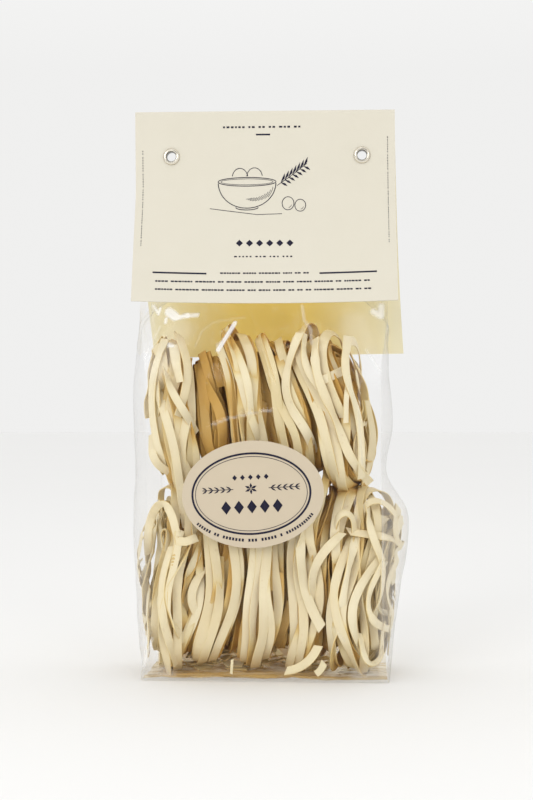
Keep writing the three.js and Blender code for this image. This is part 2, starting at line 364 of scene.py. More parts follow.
# The amber diffuse is painted shade and painted reflection of the dough; the clear and glossy film are
# tinted amber too, as painted reflection.
folded, folded_shade_shader, add, join = finish_nodes("folded_film", (0.68, 0.455, 0.165), 0.5)
facing = add("ShaderNodeLayerWeight", Blend=0.5)
grazing = add("ShaderNodeMath", operation="POWER")
grazing.inputs[1].default_value = 2.0
clear = add("ShaderNodeBsdfTransparent")
clear.inputs["Color"].default_value = (0.97, 0.92, 0.80, 1)
gloss = add("ShaderNodeBsdfAnisotropic", Roughness=0.12)
gloss.inputs["Color"].default_value = (0.88, 0.78, 0.58, 1)
layers = add("ShaderNodeMixShader")
shaded_layers = add("ShaderNodeMixShader")
painted_amber_shade = add("ShaderNodeAttribute", attribute_name="painted_amber_shade")
join(facing.outputs["Facing"], grazing.inputs[0])
join(grazing.outputs[0], layers.inputs[0])
join(clear.outputs[0], layers.inputs[1])
join(gloss.outputs[0], layers.inputs[2])
join(painted_amber_shade.outputs["Fac"], shaded_layers.inputs[0])
join(layers.outputs[0], shaded_layers.inputs[1])
join(folded_shade_shader.outputs[0], shaded_layers.inputs[2])
join(shaded_layers.outputs[0], folded.node_tree.nodes["Material Output"].inputs["Surface"])

across, deep = (int(size / FOLD_STEP) for size in BASE_FOLDS)
half_across, half_deep = 0.5 * BASE_FOLDS[0], 0.5 * BASE_FOLDS[1]
x, y = np.meshgrid(
    np.linspace(-0.5, 0.5, across) * BASE_FOLDS[0], np.linspace(-0.5, 0.5, deep) * BASE_FOLDS[1]
)
folds = 1.0 * (crinkle(x * 0.22, y, 41, 9) + 0.5) + 0.35 * (crinkle(x * 0.4, y, 42, 4) + 0.5)
front_wave = 0.7 + 0.3 * np.sin(x / 9) * np.sin(x / 23)
back_wave = 0.85 + 0.15 * np.sin(x / 11) * np.sin(x / 5)
hem = FRONT_HEM * bell(y, -half_deep + 2.0, 2.5) * front_wave
hem += BACK_HEM * ease(y, half_deep - 6.0, half_deep) * back_wave
flaps = np.stack([x, y, 0.4 + soft_ramp(0.1 + 0.8 * folds, 0.15) + hem], 2).reshape(-1, 3)
quads = [
    (k, k + 1, k + 1 + across, k + across) for k in range(across * (deep - 1)) if k % across < across - 1
]
base_folds = piece("base_folds", flaps, quads, folded, "film", "bag")
# painted shade: more behind the front hem, where the nests stand over it, less towards the sides, in
# streaks
covered = ease(y, -half_deep - 3, -half_deep + 7)
covered = covered * (1 - ease(abs(x - PAINTED_SHADE_MIDDLE), 28, half_across - 3))
streaks = 0.75 + 0.25 * np.clip(crinkle(x * 0.1, y, 43, 5) + 0.3, 0, 1)
paint(base_folds, "painted_amber_shade", (BASE_PAINTED_SHADE[0] + (BASE_PAINTED_SHADE[1] - BASE_PAINTED_SHADE[0]) * covered * streaks).ravel())

# ---------------------------------------------------------------- pasta nests
# Flat ribbons of durum dough, under 5 mm wide and 1 mm thick, looped while soft into flat skeins
# and dried. Four nests stand on five, each on its bent ends. Their ribbons lie over one another,
# cross and twist; each is laid on whatever lies under it, from the inside of the nest outwards.

RIBBON_WIDTH = 4.6
RIBBON_THICKNESS = 0.72
CORNERS = 10  # round a ribbon's cross-section
NEST_TIERS = [
    dict(
        names=["nest_upper_1", "nest_upper_2", "nest_upper_3", "nest_upper_4"],
        middle=129.0,
        half_tall=38.5,
        half_deep=30.2,
        seed=7,
        ragged=(4.5, 4.0),  # how far windings stand off at the top and at the foot
        flow=2.4,  # how far the ribbons' common wave swings sideways
        x=[-45.0, -11.0, 10.5, 34.5],
        half=[11.0, 12.0, 10.5, 13.0],  # half the width of each nest
        turns=[18, 21, 20, 23],
        loose=[0.8, 0.5, 0.6, 0.7],
        lean=[-9, -14, -16, -12],
        yaw=[9, 4, -2, -10],
        rise=[-6.0, 2.5, 3.5, 0.5],
        depth=[0.95, 1.0, 1.0, 0.97],
        tall=[1.1, 1.0, 0.92, 1.03],
        shade_offset=[0.06, -0.02, 0.18, 0.06],  # how much more or less of the painted shade each nest gets
    ),
    dict(
        names=["nest_lower_1", "nest_lower_2", "nest_lower_3", "nest_lower_4", "nest_lower_5"],
        middle=44.0,
        half_tall=42.0,
        half_deep=30.4,
        seed=21,
        ragged=(6.0, 3.0),
        flow=2.2,
        x=[-46.5, -25.0, -2.5, 22.5, 46.0],
        half=[13.0, 12.5, 12.5, 13.5, 15.0],
        turns=[20, 21, 22, 22, 24],
        loose=[1.2, 0.2, 0.1, 0.6, 1.3],
        lean=[3, 8, 6, 8, 4],
        yaw=[9, 4, 0, -3, -12],
        rise=[2.5, 0.0, -0.5, 7.0, 1.0],
        depth=[0.95, 1.0, 1.0, 1.0, 0.95],
        tall=[1.06, 1.0, 1.0, 1.16, 1.02],
        shade_offset=[0.0, 0.02, -0.12, 0.0, -0.08],
    ),
]
NEST_WALL = 9.5  # thickness of the outermost windings
STEP = 1.6  # length of a ribbon between two of its cross-sections
X_CELL = 0.5  # a heap keeps its height in cells of STEP by this
HEAP_REACH = 75.0
SHARP = math.radians(38)
FILM_ROOM = 0.9  # how far the dough keeps from the film
LOWEST = 0.7


def softened(values, reach, loop=False):
    """Values smoothed by a bell of the given reach in steps."""
    half = max(1, int(3 * reach))
    weights = np.exp(-0.5 * (np.arange(-half, half + 1) / reach) ** 2)
    padded = np.pad(values, (half, half), mode="wrap" if loop else "edge")
    return np.convolve(padded, weights / weights.sum(), mode="valid")


def bridged(values, sag):
    """The lowest curve over the values that bends no more sharply than sag allows."""
    best = values.copy()
    for k in range(1, min(16, len(values) - 1)):
        drop = sag * (k * STEP) ** 2
        best[k:] = np.maximum(best[k:], values[:-k] - drop)
        best[:-k] = np.maximum(best[:-k], values[k:] - drop)
    return best


def oval(half_deep, half_tall, power=3.3):
    """Points, run and outward normals round a rounded oblong."""
    turn = np.linspace(0, 2 * math.pi, 4001)[:-1]
    y = half_deep * np.sign(np.cos(turn)) * abs(np.cos(turn)) ** (2 / power)
    z = half_tall * np.sign(np.sin(turn)) * abs(np.sin(turn)) ** (2 / power)
    run = np.concatenate([[0], np.cumsum(np.hypot(np.diff(y, append=y[0]), np.diff(z, append=z[0])))])
    at = np.linspace(0, run[-1], int(run[-1] / STEP), endpoint=False)
    y = np.interp(at, run, np.append(y, y[0]))
    z = np.interp(at, run, np.append(z, z[0]))
    ty = softened(np.roll(y, -1) - np.roll(y, 1), 2, True)
    tz = softened(np.roll(z, -1) - np.roll(z, 1), 2, True)
    size = np.hypot(ty, tz)
    return dict(run=run[-1], y=y, z=z, ty=ty / size, tz=tz / size)


def wander(count, draw, size, shortest=50, longest=130):
    """A smooth random sideways path."""
    s = np.arange(count) * STEP
    path = 0
    for _ in range(3):
        wave = 2 * math.pi / draw.uniform(shortest, longest)
        path = path + draw.uniform(0.4, 1) * np.sin(wave * s + draw.uniform(0, 6.3))
    return size * path / 1.6


def flat_heap(count, height):
    """A heap that is still as flat as a table: its height in cells along it and across it."""
    return np.full((count, int(2 * HEAP_REACH / X_CELL)), height)


def cells(heap, s, x):
    """The cells of a heap under points that lie s along it and x across it."""
    i = np.floor(s / STEP).astype(int) % len(heap)
    return i, np.clip(((x + HEAP_REACH) / X_CELL).astype(int), 0, heap.shape[1] - 1)


def course(s, x):
    """Which way a path over a heap runs at each of its points."""
    ds, dx = np.gradient(s), np.gradient(x)
    size = np.hypot(ds, dx)
    return ds / size, dx / size


def turned(out, aside, turn):
    """The way a ribbon's face looks: out of its heap, turned towards its side."""
    return out * np.cos(turn)[:, None] - aside * np.sin(turn)[:, None]


def lay(heap, s, x, width, twist, air, sag=0.018):
    """Lay a ribbon on a heap along (s, x): its middle's height and turn, and the heap is raised."""
    ds, dx = course(s, x)
    foot = (width * abs(np.cos(twist)) + RIBBON_THICKNESS * abs(np.sin(twist))) / 2
    tall = width * abs(np.sin(twist)) + RIBBON_THICKNESS * abs(np.cos(twist))
    spots = np.linspace(-1, 1, 13)
    under_s = s[:, None] + spots * (-dx * foot)[:, None]
    under_x = x[:, None] + spots * (ds * foot)[:, None]
    i, j = cells(heap, under_s, under_x)
    ground = heap[i, j]
    tilt = softened((ground[:, 8:].max(1) - ground[:, :5].max(1)) / (1.3 * foot), 3)
    tilt = np.clip(tilt, -0.65, 0.65)
    slope = spots * (tilt * foot)[:, None]
    lift = softened(bridged((ground - slope).max(1), sag), 2.0) + air
    np.maximum.at(heap, (i, j), lift[:, None] + tall[:, None] + slope)
    return lift + tall / 2, np.arctan(tilt) + twist


def ribbon(path, up, width, thickness, draw, cut=(0.0, 0.0)):
    """A flat strip with rounded edges along a path, its broad face turned to up; its ends are cut
    square or on a slant."""
    along = np.gradient(path, axis=0)
    along /= np.linalg.norm(along, axis=1)[:, None]
    across = np.cross(along, up)
    across /= np.linalg.norm(across, axis=1)[:, None]
    up = np.cross(across, along)
    steps = np.arange(len(path))
    wave = draw.uniform(0, 6.3, 3)
    half_w = width / 2 * (1 + 0.03 * np.sin(steps / 9 + wave[0]))
    half_t = thickness / 2 * (1 + 0.07 * np.sin(steps / 6 + wave[1]))
    cup = draw.uniform(-0.14, 0.14) + 0.1 * np.sin(steps / 14 + wave[2])
    edge = 0.26 * thickness
    corners = [  # ten, as CORNERS says
        (-half_w, -half_t + edge), (-half_w + edge, -half_t), (0 * half_w, -half_t - cup),
        (half_w - edge, -half_t), (half_w, -half_t + edge), (half_w, half_t - edge),
        (half_w - edge, half_t), (0 * half_w, half_t - cup), (-half_w + edge, half_t),
        (-half_w, half_t - edge),
    ]
    slant = np.zeros(len(path))
    slant[0], slant[-1] = cut
    loop = [
        path + across * x[:, None] + up * y[:, None] + along * (slant * x)[:, None] for x, y in corners
    ]
    return np.stack(loop, 1).reshape(-1, 3), rings(len(path), CORNERS)


def gathered(parts):
    """One mesh from several (points, faces)."""
    points, faces, first = [], [], 0
    for more, their in parts:
        points.append(more)
        faces += [tuple(v + first for v in face) for face in their]
        first += len(more)
    return np.concatenate(points), faces


def pasta(name, parts, tones):
    """A piece of dough from several ribbons, each of its own tone, held inside the film. Their
    pressed faces and cut edges meet at clean corners."""
    points, faces = gathered(parts)
    points = held(points)
    made = piece(name, points, faces, dough, "pasta", "bag")
    made.data.set_sharp_from_angle(angle=SHARP)
    strand_tone = [np.full(len(part), tone) for (part, _), tone in zip(parts, tones)]
    paint(made, "strand_tone", np.concatenate(strand_tone))
    return made, points, faces


def twisting(count, draw, events, most):
    """Turns of a ribbon about its own length: a few quarter twists, and curled ends."""
    steps = np.arange(count)
    twist = np.zeros(count)
    for _ in range(events):
        turn = math.radians(draw.uniform(20, most)) * draw.choice([-1, 1])
        twist += turn * bell(steps, draw.uniform(0, count), draw.uniform(5, 12))
    for tip in (0, count - 1):
        twist += math.radians(draw.uniform(-35, 35)) * bell(steps, tip, 7)
    return np.clip(twist, -1.4, 1.4)


def settled(tier, points):
    """Points of an even row of nests, moved to where this tier's nests stand, lean, turn and sag."""
    x, y, z = points.T
    lean, yaw, rise, depth, tall = (
        np.interp(x, tier["x"], tier[key]) for key in ("lean", "yaw", "rise", "depth", "tall")
    )
    z = z * tall
    moved = x + np.tan(np.radians(lean)) * z - np.tan(np.radians(yaw)) * y
    phase = tier["seed"]
    bow = 1.3 * np.sin(z / 19 + x / 11 + phase) * np.cos(y / 21 + x / 17)
    bow = bow + 0.4 * np.sin(z / 9 - x / 9 + y / 14)
    bow = bow + tier["flow"] * np.sin(z / 15 + x / 26 + phase)
    slump = 0.7 * np.sin(x / 8.5 + phase) * np.sin(z / 19 + y / 16)
    deep = y * depth * (1 + 0.035 * np.sin(x / 7 + z / 15 + phase)) - 0.8
    moved = moved + bow * (1 - 0.4 * ease(abs(z), 25, 42))
    return np.stack([moved, deep, tier["middle"] + z + rise + slump], 1)


def held(points):
    """Points pressed back inside the film where they would push through it."""
    x, y, z = points.T
    x = x - lean_at(z)
    room = half_depth(z) + panel_swell(np.clip(x, -56, 56), z) - FILM_ROOM
    y = np.sign(y) * (abs(y) - soft_ramp(abs(y) - room, 0.5))
    t = np.clip(y / half_depth(z), -1, 1)
    swell = np.where(x < 0, gusset_swell("left", t, z), gusset_swell("right", t, z))
    wide = half_width(z) + swell - FILM_ROOM
    x = np.sign(x) * (abs(x) - soft_ramp(abs(x) - wide, 0.5))
    return np.stack([x + lean_at(z), y, np.maximum(z, LOWEST)], 1)


PLACES_TRIED = 5
TIP_STEPS = 9
TIP_TUCK = 2.4  # how deep a ribbon's end is tucked in
SPRUNG_SHARE = 0.12  # share of the ends that stand off instead


def wind(tier, groups, draw, strands, wall, inset, shorter=1.0):
    """Wind turns over an oval, each strand to and fro across its nest, and add them to the strands
    of that nest. The oval lies inset from the tier's outline, and the windings fill a wall of the
    given thickness on it. A group is (nest, x, half width, looseness, turns). Of a few places tried
    for a strand, it takes the one where the heap is lowest."""
    loop = oval(tier["half_deep"] - inset - wall, tier["half_tall"] - shorter * inset - wall)
    lap = len(loop["y"])
    heap = flat_heap(lap, 0.0)
    top = np.clip(loop["z"] / tier["half_tall"], -1, 1)
    tight = 0.25 if inset else 1.0
    gather = softened(1 - tight * (0.42 * ease(-top, 0.25, 0.95) + 0.12 * ease(top, 0.5, 0.95)), 5, True)
    crown = bell(np.arange(lap), lap / 4, 9)
    foot = bell(np.arange(lap), 0.75 * lap, 7)
    jobs = []
    for group in groups:
        left = group[-1]
        while left > 0:
            length = min(draw.uniform(2.0, 4.5), max(0.8, left))
            left -= length
            jobs.append(group[:-1] + (length,))
    order = draw.permutation(len(jobs))
    made = []
    for rank, job in enumerate(order):
        nest, x, half, loose, length = jobs[job]
        late = rank / len(jobs)
        count = int(length * lap)
        steps = np.arange(count)
        width = RIBBON_WIDTH * draw.uniform(0.88, 1.08)
        limit = half - width / 2
        best = None
        for _ in range(PLACES_TRIED):
            start, way = draw.uniform(0, lap), draw.choice([-1, 1])
            at = (start + way * steps) * STEP
            pitch = width * draw.uniform(0.55, 0.9) / lap
            travel = draw.uniform(-limit, limit) + draw.choice([-1, 1]) * pitch * steps
            side = limit * np.arcsin(np.sin(travel * math.pi / (2 * limit))) * 2 / math.pi
            side = softened(side, 8) + wander(count, draw, 2.0 + 2.6 * loose + 1.8 * late, 50, 120)
            reach = limit + 1.5 * loose
            index = np.floor(at / STEP).astype(int) % lap
            side = x + reach * np.tanh(side / reach) * gather[index]
            i, j = cells(heap, at, side)
            score = heap[i, j].mean() + 0.3 * heap[i, j].max()
            if best is None or score < best[0]:
                best = (score, at, side, index)
        _, at, side, index = best
        air = draw.uniform(0.02, 0.12)
        air = air + (0.25 + 0.6 * loose) * np.clip(wander(count, draw, 1.0, 40, 110), 0, 2) * late
        knots = np.arange(0, length + 2, 0.5)
        slack = np.interp(steps / lap, knots, draw.uniform(0, 1, len(knots)))
        ragged = (tier["ragged"][0] * crown + tier["ragged"][1] * foot)[index]
        air += (0.3 + 0.7 * late) * slack * ragged
        tuck = 0 * air
        for tip in (0, count - 1):
            near_tip = np.clip(1 - abs(steps - tip) / TIP_STEPS, 0, 1) ** 2
            spring = draw.uniform(0, 1.5) if draw.random() < SPRUNG_SHARE else 0
            air += spring * near_tip
            tuck += (TIP_TUCK if spring == 0 else 0) * near_tip
        events = draw.integers(0, 1 + round(3 * loose * length + 0.5))
        twist = twisting(count, draw, events, 30 + 45 * loose)
        twist = twist + wander(count, draw, 0.16, 50, 140)
        height, turn = lay(heap, at, side, width, twist, air)
        made.append((nest, at, side, height - tuck, turn, width))
    spare = wall - np.percentile(np.concatenate([m[3] for m in made]), 96)
    for nest, at, side, height, turn, width in made:
        k = at / STEP
        y, z, ty, tz = (
            np.interp(k, np.arange(lap + 1), np.append(loop[v], loop[v][0]), period=lap)
            for v in ("y", "z", "ty", "tz")
        )
        out = np.stack([0 * y, tz, -ty], 1)
        path = np.stack([side, y, z], 1) + out * (height + spare)[:, None]
        ds, dx = course(at, side)
        up = turned(out, np.stack([ds, -dx * ty, -dx * tz], 1), turn)
        moved = settled(tier, path)
        tip = settled(tier, path + 0.05 * up) - moved
        strands[nest].append((moved, tip / np.linalg.norm(tip, axis=1)[:, None], width, inset > 0))


dough, dough_shader, add, join = finish_nodes("dried_dough", (0.86, 0.75, 0.56), 0.62)
place = add("ShaderNodeTexCoord")
grain = add("ShaderNodeTexNoise", Scale=900.0, Detail=4.0, Roughness=0.6)
cloud = add("ShaderNodeTexNoise", Scale=45.0, Detail=3.0)
speck = add("ShaderNodeTexNoise", Scale=420.0, Detail=2.0)
strand = add("ShaderNodeAttribute", attribute_name="strand_tone")
tone = add("ShaderNodeMath", operation="ADD")
tone_range = add("ShaderNodeMapRange")
tone_range.inputs["From Min"].default_value = 0.35
tone_range.inputs["From Max"].default_value = 1.35
dough_color = add("ShaderNodeMix", data_type="RGBA")
dough_color.inputs["A"].default_value = (0.77, 0.64, 0.385, 1)
dough_color.inputs["B"].default_value = (0.85, 0.765, 0.545, 1)
# Painted shade: where the 'deep' attribute says a face is closed in, the dough is painted golden, then
# brown.
deep = add("ShaderNodeAttribute", attribute_name="deep")
golden_shade_range = add("ShaderNodeMapRange")
golden_shade_range.inputs["From Max"].default_value = 0.5
golden_shade = add("ShaderNodeMix", data_type="RGBA")
golden_shade.inputs["B"].default_value = (0.77, 0.63, 0.30, 1)
brown_shade_range = add("ShaderNodeMapRange")
brown_shade_range.inputs["From Min"].default_value = 0.25
brown_shade = add("ShaderNodeMix", data_type="RGBA")
brown_shade.inputs["B"].default_value = (0.62, 0.365, 0.08, 1)
fleck_range = add("ShaderNodeMapRange")
fleck_range.inputs["From Min"].default_value = 0.66
fleck_range.inputs["From Max"].default_value = 0.74
fleck_range.inputs["To Max"].default_value = 0.35
flecked = add("ShaderNodeMix", data_type="RGBA")
flecked.inputs["B"].default_value = (0.66, 0.50, 0.28, 1)
rough = add("ShaderNodeBump", Strength=0.25, Distance=0.0002)
join(place.outputs["Object"], grain.inputs["Vector"])
join(place.outputs["Object"], cloud.inputs["Vector"])
join(place.outputs["Object"], speck.inputs["Vector"])
join(strand.outputs["Fac"], tone.inputs[0])
join(cloud.outputs["Fac"], tone.inputs[1])
join(tone.outputs[0], tone_range.inputs["Value"])
join(tone_range.outputs[0], dough_color.inputs["Factor"])
join(speck.outputs["Fac"], fleck_range.inputs["Value"])
join(fleck_range.outputs[0], flecked.inputs["Factor"])
join(deep.outputs["Fac"], golden_shade_range.inputs["Value"])
join(golden_shade_range.outputs[0], golden_shade.inputs["Factor"])
join(deep.outputs["Fac"], brown_shade_range.inputs["Value"])
join(brown_shade_range.outputs[0], brown_shade.inputs["Factor"])
join(dough_color.outputs["Result"], golden_shade.inputs["A"])
join(golden_shade.outputs["Result"], brown_shade.inputs["A"])
join(brown_shade.outputs["Result"], flecked.inputs["A"])
join(flecked.outputs["Result"], dough_shader.inputs["Base Color"])
join(grain.outputs["Fac"], rough.inputs["Height"])
join(rough.outputs["Normal"], dough_shader.inputs["Normal"])

nests, nest_points, nest_faces = [], [], []
for tier in NEST_TIERS:
    draw = np.random.default_rng(tier["seed"])
    strands = [[] for _ in tier["names"]]
    places = list(zip(range(len(tier["x"])), tier["x"], tier["half"], tier["loose"], tier["turns"]))
    gaps = [(k, (tier["x"][k] + tier["x"][k + 1]) / 2) for k in range(len(places) - 1)]
    # within the outer windings of each nest, and over the gap to the next one
    inner = [(nest, x, half - 1, 0.8, 0.2 * turns) for nest, x, half, loose, turns in places]
    inner += [(*gap, 8.0, 0.5, 4.0) for gap in gaps]
    wind(tier, inner, draw, strands, wall=6.0, inset=NEST_WALL + 1.0)
    core = [(nest, x, half - 2, 1.2, 3.5) for nest, x, half, loose, turns in places]
    wind(tier, core, draw, strands, wall=5.0, inset=NEST_WALL + 8.0)
    heart = [(nest, x, half - 2, 1.2, 2.5) for nest, x, half, loose, turns in places]
    wind(tier, heart, draw, strands, wall=4.0, inset=NEST_WALL + 13.5)
    outer = [(nest, x, half, loose, 0.75 * turns) for nest, x, half, loose, turns in places]
    wind(tier, outer, draw, strands, wall=NEST_WALL, inset=0.0)
    # strays that fill the gaps between two nests, taller than the windings they lie in
    astray = np.random.default_rng(tier["seed"] + 50)
    between = [(*gap, 8.5, 0.4, 5.0) for gap in gaps]
    wind(tier, between, astray, strands, wall=5.0, inset=NEST_WALL + 5.0, shorter=0.6)
    between = [(*gap, 8.5, 0.4, 3.5) for gap in gaps]
    wind(tier, between, astray, strands, wall=5.0, inset=NEST_WALL + 10.0, shorter=0.45)
    for name, own, shade_offset in zip(tier["names"], strands, tier["shade_offset"]):
        parts, tones = [], []
        for path, up, width, _ in own:
            parts.append(ribbon(path, up, width, RIBBON_THICKNESS, draw, draw.uniform(-0.5, 0.5, 2)))
            tones.append(draw.uniform(0.1, 0.75))
        nest, points, faces = pasta(name, parts, tones)
        nests.append((nest, own, shade_offset))
        nest_points.append(points)
        nest_faces.append(faces)

# Painted shade: deep between the ribbons light has passed through dough many times, so there the dough is
# painted golden, then brown.
DEEP_REACH = 13.0
DEEP_RANGE = (0.15, 0.9)
DEEP_TONE = 0.95
WITHIN_TONE = 0.6
EDGE_TONE = 0.3
LOOKS = [  # how much each look out of a face is turned from straight out
    (0, 0, 0), (1, 0, 0), (-1, 0, 0), (0, 1, 0), (0, -1, 0),
    (0, 0, 1), (0, 0, -1), (0.7, 0, 0.7), (-0.7, 0, 0.7),
]


def closed_in(points, ups, tree):
    """Share of the ways out from points, as their faces look, that nearby dough stops."""
    stops = np.zeros(len(points))
    for tilt in LOOKS:
        for k, (point, way) in enumerate(zip((points + 0.8 * ups).tolist(), (ups + tilt).tolist())):
            stops[k] += tree.ray_cast(point, way, DEEP_REACH)[0] is not None
    return stops / len(LOOKS)


def painted_shade_tone(below, above, x, z, shade_offset=0.0):
    """The painted shade on a ribbon's corners: by how far each face is closed in, more at its edges and
    near the top, and less towards the bag's clear sides, where more light comes in."""
    inside = np.concatenate([np.repeat(below[:, None], 5, 1), np.repeat(above[:, None], 5, 1)], 1)
    aside = 1 - 0.75 * ease(abs(x), 40, 56)
    tone = DEEP_TONE * ease(inside + 0.12 * ease(z, 95, 165)[:, None], *DEEP_RANGE) * aside[:, None]
    tone = np.clip(tone + shade_offset, 0, 1)
    corner = EDGE_TONE * np.array([1, 0.25, 0, 0.25, 1, 1, 0.25, 0, 0.25, 1])
    return (tone + corner * (1 - tone)).ravel()


all_points, all_faces = gathered(zip(nest_points, nest_faces))
tree = BVHTree.FromPolygons(all_points.tolist(), all_faces)
for nest, own, shade_offset in nests:
    tones = []
    for path, up, width, within in own:
        every = np.arange(0, len(path), 2)
        inside = []
        for way in (-1, 1):
            shut = closed_in(path[every], way * up[every], tree)
            shut = softened(np.interp(np.arange(len(path)), every, shut), 3)
            inside.append(shut + WITHIN_TONE * within)
        tones.append(painted_shade_tone(*inside, path[:, 0], path[:, 2], shade_offset))
    paint(nest, "deep", np.concatenate(tones))

# ---------------------------------------------------------------- ribbons over the nests' sides
# The outermost nests lie with their open sides against the gussets. There the ribbons' slack has
# sprung out in loops and curls that cross the opening; each lies on what is under it.

SIDE_RIBBONS = [("upper", 4, 4.0), ("lower", 6, 1.0)]  # how many, and how deep they may sink in
SIDE_LENGTH = (60, 150)
SIDE_REACH = 24.0
HEAP_TALL = 180.0


def roam(draw, length, reach_y, reach_z, middle):
    """A smooth wandering line that turns back before it leaves an oval: (y, z) points."""
    at = np.array([draw.uniform(-0.5, 0.5) * reach_y, draw.uniform(-0.7, 0.7) * reach_z])
    heading, bend = draw.choice([-1, 1]) * math.pi / 2 + draw.normal(0, 0.5), 0.0
    line = []
    for _ in range(int(length / STEP)):
        line.append(at.copy())
        bend = np.clip(0.9 * bend + draw.normal(0, 0.012), -0.09, 0.09)
        away = math.hypot(at[0] / reach_y, at[1] / reach_z)
        if away > 0.7:
            home = math.atan2(-at[1] / reach_z, -at[0] / reach_y)
            turn = (home - heading + math.pi) % (2 * math.pi) - math.pi
            bend = math.copysign(min(0.13, 0.35 * (away - 0.7)), turn) if abs(turn) > 0.5 else 0.0
        heading += bend * STEP
        at += STEP * np.array([math.cos(heading), math.sin(heading)])
    line = np.array(line)
    return softened(line[:, 0], 1.5), middle + softened(line[:, 1], 1.5)


draw = np.random.default_rng(17)
side_points = []
for tier, (level, count, sunk) in zip(NEST_TIERS, SIDE_RIBBONS):
    for name, side, end in (("left", -1, 0), ("right", 1, -1)):
        heap = flat_heap(int(HEAP_TALL / STEP), abs(tier["x"][end]) + 3.0)
        near = np.concatenate(nest_points)
        near = near[(near[:, 0] * side > 20) & (abs(near[:, 2] - tier["middle"]) < tier["half_tall"])]
        np.maximum.at(heap, cells(heap, near[:, 2], near[:, 1]), near[:, 0] * side)
        heap = np.minimum(heap, abs(tier["x"][end]) + tier["half"][end] - sunk)
        parts, tones = [], []
        for _ in range(count):
            length = draw.uniform(*SIDE_LENGTH)
            y, z = roam(draw, length, SIDE_REACH, tier["half_tall"] - 5, tier["middle"] + 0.5)
            width = RIBBON_WIDTH * draw.uniform(0.85, 1.05)
            twist = twisting(len(y), draw, draw.integers(0, 3), 35)
            height, turn = lay(heap, z, y, width, twist, draw.uniform(0.0, 0.2) + 0 * y, 0.012)
            dz, dy = course(z, y)
            up = turned(np.array([side, 0, 0]), np.stack([0 * y, dz, -dy], 1), turn)
            path = np.stack([side * height, y, z], 1)
            parts.append(ribbon(path, up, width, RIBBON_THICKNESS, draw, draw.uniform(-0.5, 0.5, 2)))
            tones.append(draw.uniform(0.1, 0.75))
        curls, points, _ = pasta("side_ribbons_" + level + "_" + name, parts, tones)
        side_points.append(points)
        x, z = points[::CORNERS, 0], points[::CORNERS, 2]
        # painted shade: each face counted as a fixed share closed in
        paint(curls, "deep", painted_shade_tone(0.5 + 0 * x, 0.12 + 0 * x, x, z))

# ---------------------------------------------------------------- loose ribbons and broken ends
# Ribbons that have slipped out of the nests and lie over their fronts against the film, and short
# broken ends that have fallen to the bottom of the bag.

